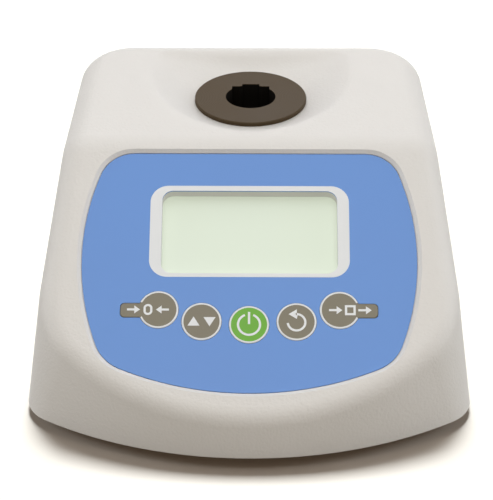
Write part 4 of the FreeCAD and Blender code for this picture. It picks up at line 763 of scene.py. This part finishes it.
def make_rounded_post():
    """A round post along Z with rounded edges at both ends."""
    tree, entry, leave = shape_tree("rounded_post", [("Length", "Float", 0.01), ("Radius", "Float", 0.002),
                                                     ("Edge", "Float", 0.0005)])
    length = entry.outputs["Length"]
    edge = entry.outputs["Edge"]
    end = tree.nodes.new("ShaderNodeCombineXYZ")
    line = tree.nodes.new("GeometryNodeCurvePrimitiveLine")
    rings = tree.nodes.new("GeometryNodeResampleCurve")
    rings.inputs["Count"].default_value = POST_RINGS
    along = tree.nodes.new("GeometryNodeSplineParameter")
    swing = maths(tree, "COSINE", maths(tree, "MULTIPLY", along.outputs["Factor"], math.pi))
    share = maths(tree, "SUBTRACT", 0.5, maths(tree, "MULTIPLY", swing, 0.5))
    spot = tree.nodes.new("ShaderNodeCombineXYZ")
    gather = tree.nodes.new("GeometryNodeSetPosition")
    reach = tree.nodes.new("GeometryNodeSplineParameter")
    other = maths(tree, "SUBTRACT", 1.0, reach.outputs["Factor"])
    inside = maths(tree, "MULTIPLY", maths(tree, "MINIMUM", reach.outputs["Factor"], other), length)
    out = maths(tree, "MAXIMUM", maths(tree, "SUBTRACT", 1.0, maths(tree, "DIVIDE", inside, edge)), 0.0)
    bow = maths(tree, "SQRT", maths(tree, "SUBTRACT", 1.0, maths(tree, "MULTIPLY", out, out)))
    lost = maths(tree, "MULTIPLY", edge, maths(tree, "SUBTRACT", 1.0, bow))
    circle = tree.nodes.new("GeometryNodeCurvePrimitiveCircle")
    circle.inputs["Resolution"].default_value = SIDES
    circle.inputs["Radius"].default_value = 1.0
    skin = tree.nodes.new("GeometryNodeCurveToMesh")
    skin.inputs["Fill Caps"].default_value = True
    links = tree.links
    links.new(length, end.inputs["Z"])
    links.new(end.outputs[0], line.inputs["End"])
    links.new(line.outputs[0], rings.inputs["Curve"])
    links.new(maths(tree, "MULTIPLY", share, length), spot.inputs["Z"])
    links.new(rings.outputs[0], gather.inputs["Geometry"])
    links.new(spot.outputs[0], gather.inputs["Position"])
    links.new(gather.outputs[0], skin.inputs["Curve"])
    links.new(circle.outputs["Curve"], skin.inputs["Profile Curve"])
    links.new(maths(tree, "SUBTRACT", entry.outputs["Radius"], lost), skin.inputs["Scale"])
    links.new(skin.outputs[0], leave.inputs[0])
    return tree


rounded_post = make_rounded_post()


def post_in(tree, length, radius, edge):
    """A rounded post inside another tree."""
    made = tree.nodes.new("GeometryNodeGroup")
    made.node_tree = rounded_post
    for label, value in (("Length", length), ("Radius", radius), ("Edge", edge)):
        tree.links.new(value, made.inputs[label])
    return made.outputs[0]


def stand_on_places(tree, entry, leave, shape, turn):
    """Copies of a shape on the object's points, made real and given their finish."""
    copies = tree.nodes.new("GeometryNodeInstanceOnPoints")
    real = tree.nodes.new("GeometryNodeRealizeInstances")
    finish = tree.nodes.new("GeometryNodeSetMaterial")
    tree.links.new(entry.outputs["Places"], copies.inputs["Points"])
    tree.links.new(shape, copies.inputs["Instance"])
    tree.links.new(turn, copies.inputs["Rotation"])
    tree.links.new(copies.outputs[0], real.inputs[0])
    tree.links.new(real.outputs[0], finish.inputs["Geometry"])
    tree.links.new(entry.outputs["Finish"], finish.inputs["Material"])
    tree.links.new(finish.outputs[0], leave.inputs[0])


def make_posts():
    """Rounded posts on places, all turned alike."""
    tree, entry, leave = shape_tree("posts", [
        ("Places", "Geometry", None), ("Length", "Float", 0.01), ("Radius", "Float", 0.002),
        ("Edge", "Float", 0.0005), ("Turn", "Vector", (0.0, 0.0, 0.0)), ("Finish", "Material", None)])
    post = post_in(tree, entry.outputs["Length"], entry.outputs["Radius"], entry.outputs["Edge"])
    stand_on_places(tree, entry, leave, post, entry.outputs["Turn"])
    return tree


posts = make_posts()


def settle(name, tree, places, values):
    """Run a geometry node tree on bare points and keep the plain mesh that it makes."""
    seed_mesh = bpy.data.meshes.new(name + "_places")
    seed_mesh.from_pydata([tuple(place) for place in places], [], [])
    seed = bpy.data.objects.new(name + "_places", seed_mesh)
    scene.collection.objects.link(seed)
    modifier = seed.modifiers.new("grow", "NODES")
    modifier.node_group = tree
    for socket in tree.interface.items_tree:
        if socket.in_out == "INPUT" and socket.name in values:
            modifier[socket.identifier] = values[socket.name]
    bpy.context.view_layer.update()
    mesh = bpy.data.meshes.new_from_object(seed.evaluated_get(bpy.context.evaluated_depsgraph_get()))
    bpy.data.objects.remove(seed)
    outward = bmesh.new()
    outward.from_mesh(mesh)
    bmesh.ops.recalc_face_normals(outward, faces=outward.faces)
    outward.to_mesh(mesh)
    outward.free()
    mesh.name = name
    mesh.shade_smooth()
    mesh.set_sharp_from_angle(angle=POST_SHARP)
    made = bpy.data.objects.new(name, mesh)
    scene.collection.objects.link(made)
    underside.objects.link(made)
    return made


base_plastic = plastic("base_plastic", BASE_COLOUR, BASE_SHADE, 0.55, 1200.0, 0.00005)
finish_node("base_plate", base_plastic)
finish_node("battery_door", base_plastic)
grip_ribs = settle("door_grip_ribs", posts, [(-RIB_LENGTH / 2, y, GRIP_FLOOR) for y in RIB_ROWS],
                   {"Length": RIB_LENGTH, "Radius": RIB_RADIUS, "Edge": RIB_RADIUS * 0.9,
                    "Turn": ALONG_X, "Finish": base_plastic})
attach(grip_ribs, "battery_door_body")


# Feet and case screws
# Black rubber feet with rounded treads, pressed into sockets in the base plate, and four plated
# cross-head screws sunk in it, heads downward.

FOOT_PLACES = ((-0.044, -0.052), (0.044, -0.052), (-0.046, 0.058), (0.046, 0.058))
SCREW_PLACES = ((-0.058, -0.040), (0.058, -0.040), (-0.053, 0.042), (0.053, 0.042))
FOOT_LENGTH = 0.0041
FOOT_RADIUS = 0.00632
FOOT_EDGE = 0.0011
SCREW_FACE = 0.0033
SCREW_TURN = math.radians(20)


def make_screws():
    """Screws that stand on their heads, with a cross cut into each head."""
    tree, entry, leave = shape_tree("cross_head_screws", [
        ("Places", "Geometry", None), ("Head height", "Float", 0.00125), ("Head radius", "Float", 0.0029),
        ("Head edge", "Float", 0.0005), ("Shank length", "Float", 0.012), ("Shank radius", "Float", 0.0015),
        ("Cross size", "Vector", (0.0032, 0.0007, 0.0017)), ("Turn", "Vector", (0.0, 0.0, 0.0)),
        ("Finish", "Material", None)])
    edge = entry.outputs["Head edge"]
    head = post_in(tree, entry.outputs["Head height"], entry.outputs["Head radius"], edge)
    shank = post_in(tree, entry.outputs["Shank length"], entry.outputs["Shank radius"], edge)
    bars = tree.nodes.new("GeometryNodeJoinGeometry")
    blade = tree.nodes.new("GeometryNodeMeshCube")
    across = node(tree, "GeometryNodeTransform")
    across.inputs["Rotation"].default_value = (0.0, 0.0, math.pi / 2)
    cross = node(tree, "GeometryNodeMeshBoolean", operation="DIFFERENCE")
    whole = tree.nodes.new("GeometryNodeJoinGeometry")
    links = tree.links
    links.new(entry.outputs["Cross size"], blade.inputs["Size"])
    links.new(blade.outputs[0], across.inputs[0])
    links.new(blade.outputs[0], bars.inputs[0])
    links.new(across.outputs[0], bars.inputs[0])
    links.new(head, cross.inputs["Mesh 1"])
    links.new(bars.outputs[0], cross.inputs["Mesh 2"])
    links.new(cross.outputs[0], whole.inputs[0])
    links.new(shank, whole.inputs[0])
    stand_on_places(tree, entry, leave, whole.outputs[0], entry.outputs["Turn"])
    return tree


screws = make_screws()
foot_rubber = plastic("foot_rubber", (0.022, 0.022, 0.022, 1.0), (0.03, 0.03, 0.03, 1.0),
                      0.75, 1400.0, 0.00003)
feet = settle("feet", posts, [(x, y, 0.0) for x, y in FOOT_PLACES],
              {"Length": FOOT_LENGTH, "Radius": FOOT_RADIUS, "Edge": FOOT_EDGE, "Finish": foot_rubber})
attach(feet, "case")
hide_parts("rubber_feet")
lid_screws = settle("lid_screws", screws, [(x, y, SCREW_FACE) for x, y in SCREW_PLACES],
                    {"Turn": (0.0, 0.0, SCREW_TURN), "Finish": tinned_steel})
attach(lid_screws, "case")
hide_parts("case_screws")


# Cells and contacts
# Three AA cells side by side, every other one turned round: a steel can in a printed wrap, with a
# nub at one end. Plated contacts stand at the ends, those at the flat ends with a cone of wire.

CELL_PITCH = 0.0148
CELL_MIDDLE = -0.011
CELL_AXIS = 0.0134
CELL_LENGTH = 0.0492
CAN_RADIUS = 0.00695
WRAP_RADIUS = 0.00715
WRAP_SHORT = 0.0007
NUB_RADIUS = 0.00275
NUB_LENGTH = 0.001
BAND_LENGTH = 0.006
BAND_MIDDLE = 0.0165
COIL_SEAT = 0.0281
COIL_STEPS = 22
WIRE_SIDES = 10


def make_coils():
    """Cones of wire on places, each with its narrow end towards the middle plane."""
    tree, entry, leave = shape_tree("contact_coils", [
        ("Places", "Geometry", None), ("Height", "Float", 0.0034), ("Wide radius", "Float", 0.0041),
        ("Narrow radius", "Float", 0.0021), ("Turns", "Float", 3.5), ("Wire radius", "Float", 0.0003),
        ("Finish", "Material", None)])
    spiral = tree.nodes.new("GeometryNodeCurveSpiral")
    spiral.inputs["Resolution"].default_value = COIL_STEPS
    wire = tree.nodes.new("GeometryNodeCurvePrimitiveCircle")
    wire.inputs["Resolution"].default_value = WIRE_SIDES
    skin = tree.nodes.new("GeometryNodeCurveToMesh")
    skin.inputs["Fill Caps"].default_value = True
    where = tree.nodes.new("GeometryNodeInputPosition")
    parts = tree.nodes.new("ShaderNodeSeparateXYZ")
    turn = tree.nodes.new("ShaderNodeCombineXYZ")
    links = tree.links
    links.new(entry.outputs["Turns"], spiral.inputs["Rotations"])
    links.new(entry.outputs["Wide radius"], spiral.inputs["Start Radius"])
    links.new(entry.outputs["Narrow radius"], spiral.inputs["End Radius"])
    links.new(entry.outputs["Height"], spiral.inputs["Height"])
    links.new(entry.outputs["Wire radius"], wire.inputs["Radius"])
    links.new(spiral.outputs[0], skin.inputs["Curve"])
    links.new(wire.outputs["Curve"], skin.inputs["Profile Curve"])
    links.new(where.outputs[0], parts.inputs[0])
    side = maths(tree, "SIGN", parts.outputs["X"])
    links.new(maths(tree, "MULTIPLY", side, -math.pi / 2), turn.inputs["Y"])
    stand_on_places(tree, entry, leave, skin.outputs[0], turn.outputs[0])
    return tree


coils = make_coils()
cell_rows = [(CELL_MIDDLE + CELL_PITCH * row, -1 if row == 0 else 1) for row in (-1, 0, 1)]
cell_wrap = plastic("cell_wrap", (0.05, 0.11, 0.17, 1.0), (0.045, 0.10, 0.155, 1.0), 0.32, 1200.0, 0.000004,
                    coat=0.4)
wrap_band = plastic("wrap_band", (0.55, 0.56, 0.57, 1.0), (0.5, 0.51, 0.52, 1.0),
                    0.3, 1200.0, 0.000004, coat=0.4)
cans = settle("cell_cans", posts, [(-CELL_LENGTH / 2, y, CELL_AXIS) for y, facing in cell_rows],
              {"Length": CELL_LENGTH, "Radius": CAN_RADIUS, "Edge": 0.0006, "Turn": ALONG_X,
               "Finish": tinned_steel})
wraps = settle("cell_wraps", posts, [(-CELL_LENGTH / 2 + WRAP_SHORT, y, CELL_AXIS)
                                     for y, facing in cell_rows],
               {"Length": CELL_LENGTH - 2 * WRAP_SHORT, "Radius": WRAP_RADIUS, "Edge": 0.0003,
                "Turn": ALONG_X, "Finish": cell_wrap})
bands = settle("wrap_bands", posts, [(BAND_MIDDLE * facing - BAND_LENGTH / 2, y, CELL_AXIS)
                                     for y, facing in cell_rows],
               {"Length": BAND_LENGTH, "Radius": WRAP_RADIUS + 0.00003, "Edge": 0.00003, "Turn": ALONG_X,
                "Finish": wrap_band})
nubs = settle("cell_nubs", posts, [(CELL_LENGTH / 2 * facing - NUB_LENGTH * (1 - facing) / 2, y, CELL_AXIS)
                                   for y, facing in cell_rows],
              {"Length": NUB_LENGTH, "Radius": NUB_RADIUS, "Edge": 0.0004, "Turn": ALONG_X,
               "Finish": tinned_steel})
for piece in (cans, wraps, bands, nubs):
    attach(piece, "case")
    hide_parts("battery_cells")
contact_coils = settle("contact_coils", coils, [(-COIL_SEAT * facing, y, CELL_AXIS)
                                                for y, facing in cell_rows],
                       {"Finish": spring_steel})
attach(contact_coils, "case")
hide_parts("contact_springs")
finish_node("contact_plates", tinned_steel)


# Boards in the case
# The main board over the battery bay and the small board of the power inlet, with their parts. The
# inlet's centre pin is plated.

PIN_PLACE = (0.033, 0.0640, 0.015)
PIN_LENGTH = 0.0089
PIN_RADIUS = 0.00104
PIN_EDGE = 0.0005

chip_black = plastic("chip_black", (0.012, 0.012, 0.013, 1.0), (0.009, 0.009, 0.01, 1.0),
                     0.5, 2600.0, 0.00001)
plug_white = plastic("plug_white", (0.72, 0.70, 0.62, 1.0), (0.68, 0.66, 0.58, 1.0), 0.5, 1800.0, 0.00001)
ribbon_grey = plastic("ribbon_grey", (0.36, 0.36, 0.34, 1.0), (0.32, 0.32, 0.3, 1.0), 0.45, 1800.0, 0.00001)
inlet_black = plastic("inlet_black", (0.02, 0.02, 0.02, 1.0), (0.016, 0.016, 0.016, 1.0),
                      0.42, 2000.0, 0.00001)
finish_node("main_board", board_green)
finish_node("main_board_screws", tinned_steel)
finish_node("microcontroller", chip_black)
finish_node("board_capacitors", tinned_steel)
finish_node("board_connectors", plug_white)
finish_node("display_ribbon", ribbon_grey)
finish_node("power_board", board_green)
finish_node("power_board_screws", tinned_steel)
finish_node("dc_inlet", inlet_black)
inlet_pin = settle("inlet_pin", posts, [PIN_PLACE],
                   {"Length": PIN_LENGTH, "Radius": PIN_RADIUS, "Edge": PIN_EDGE, "Turn": ALONG_Y,
                    "Finish": tinned_steel})
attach(inlet_pin, "case")
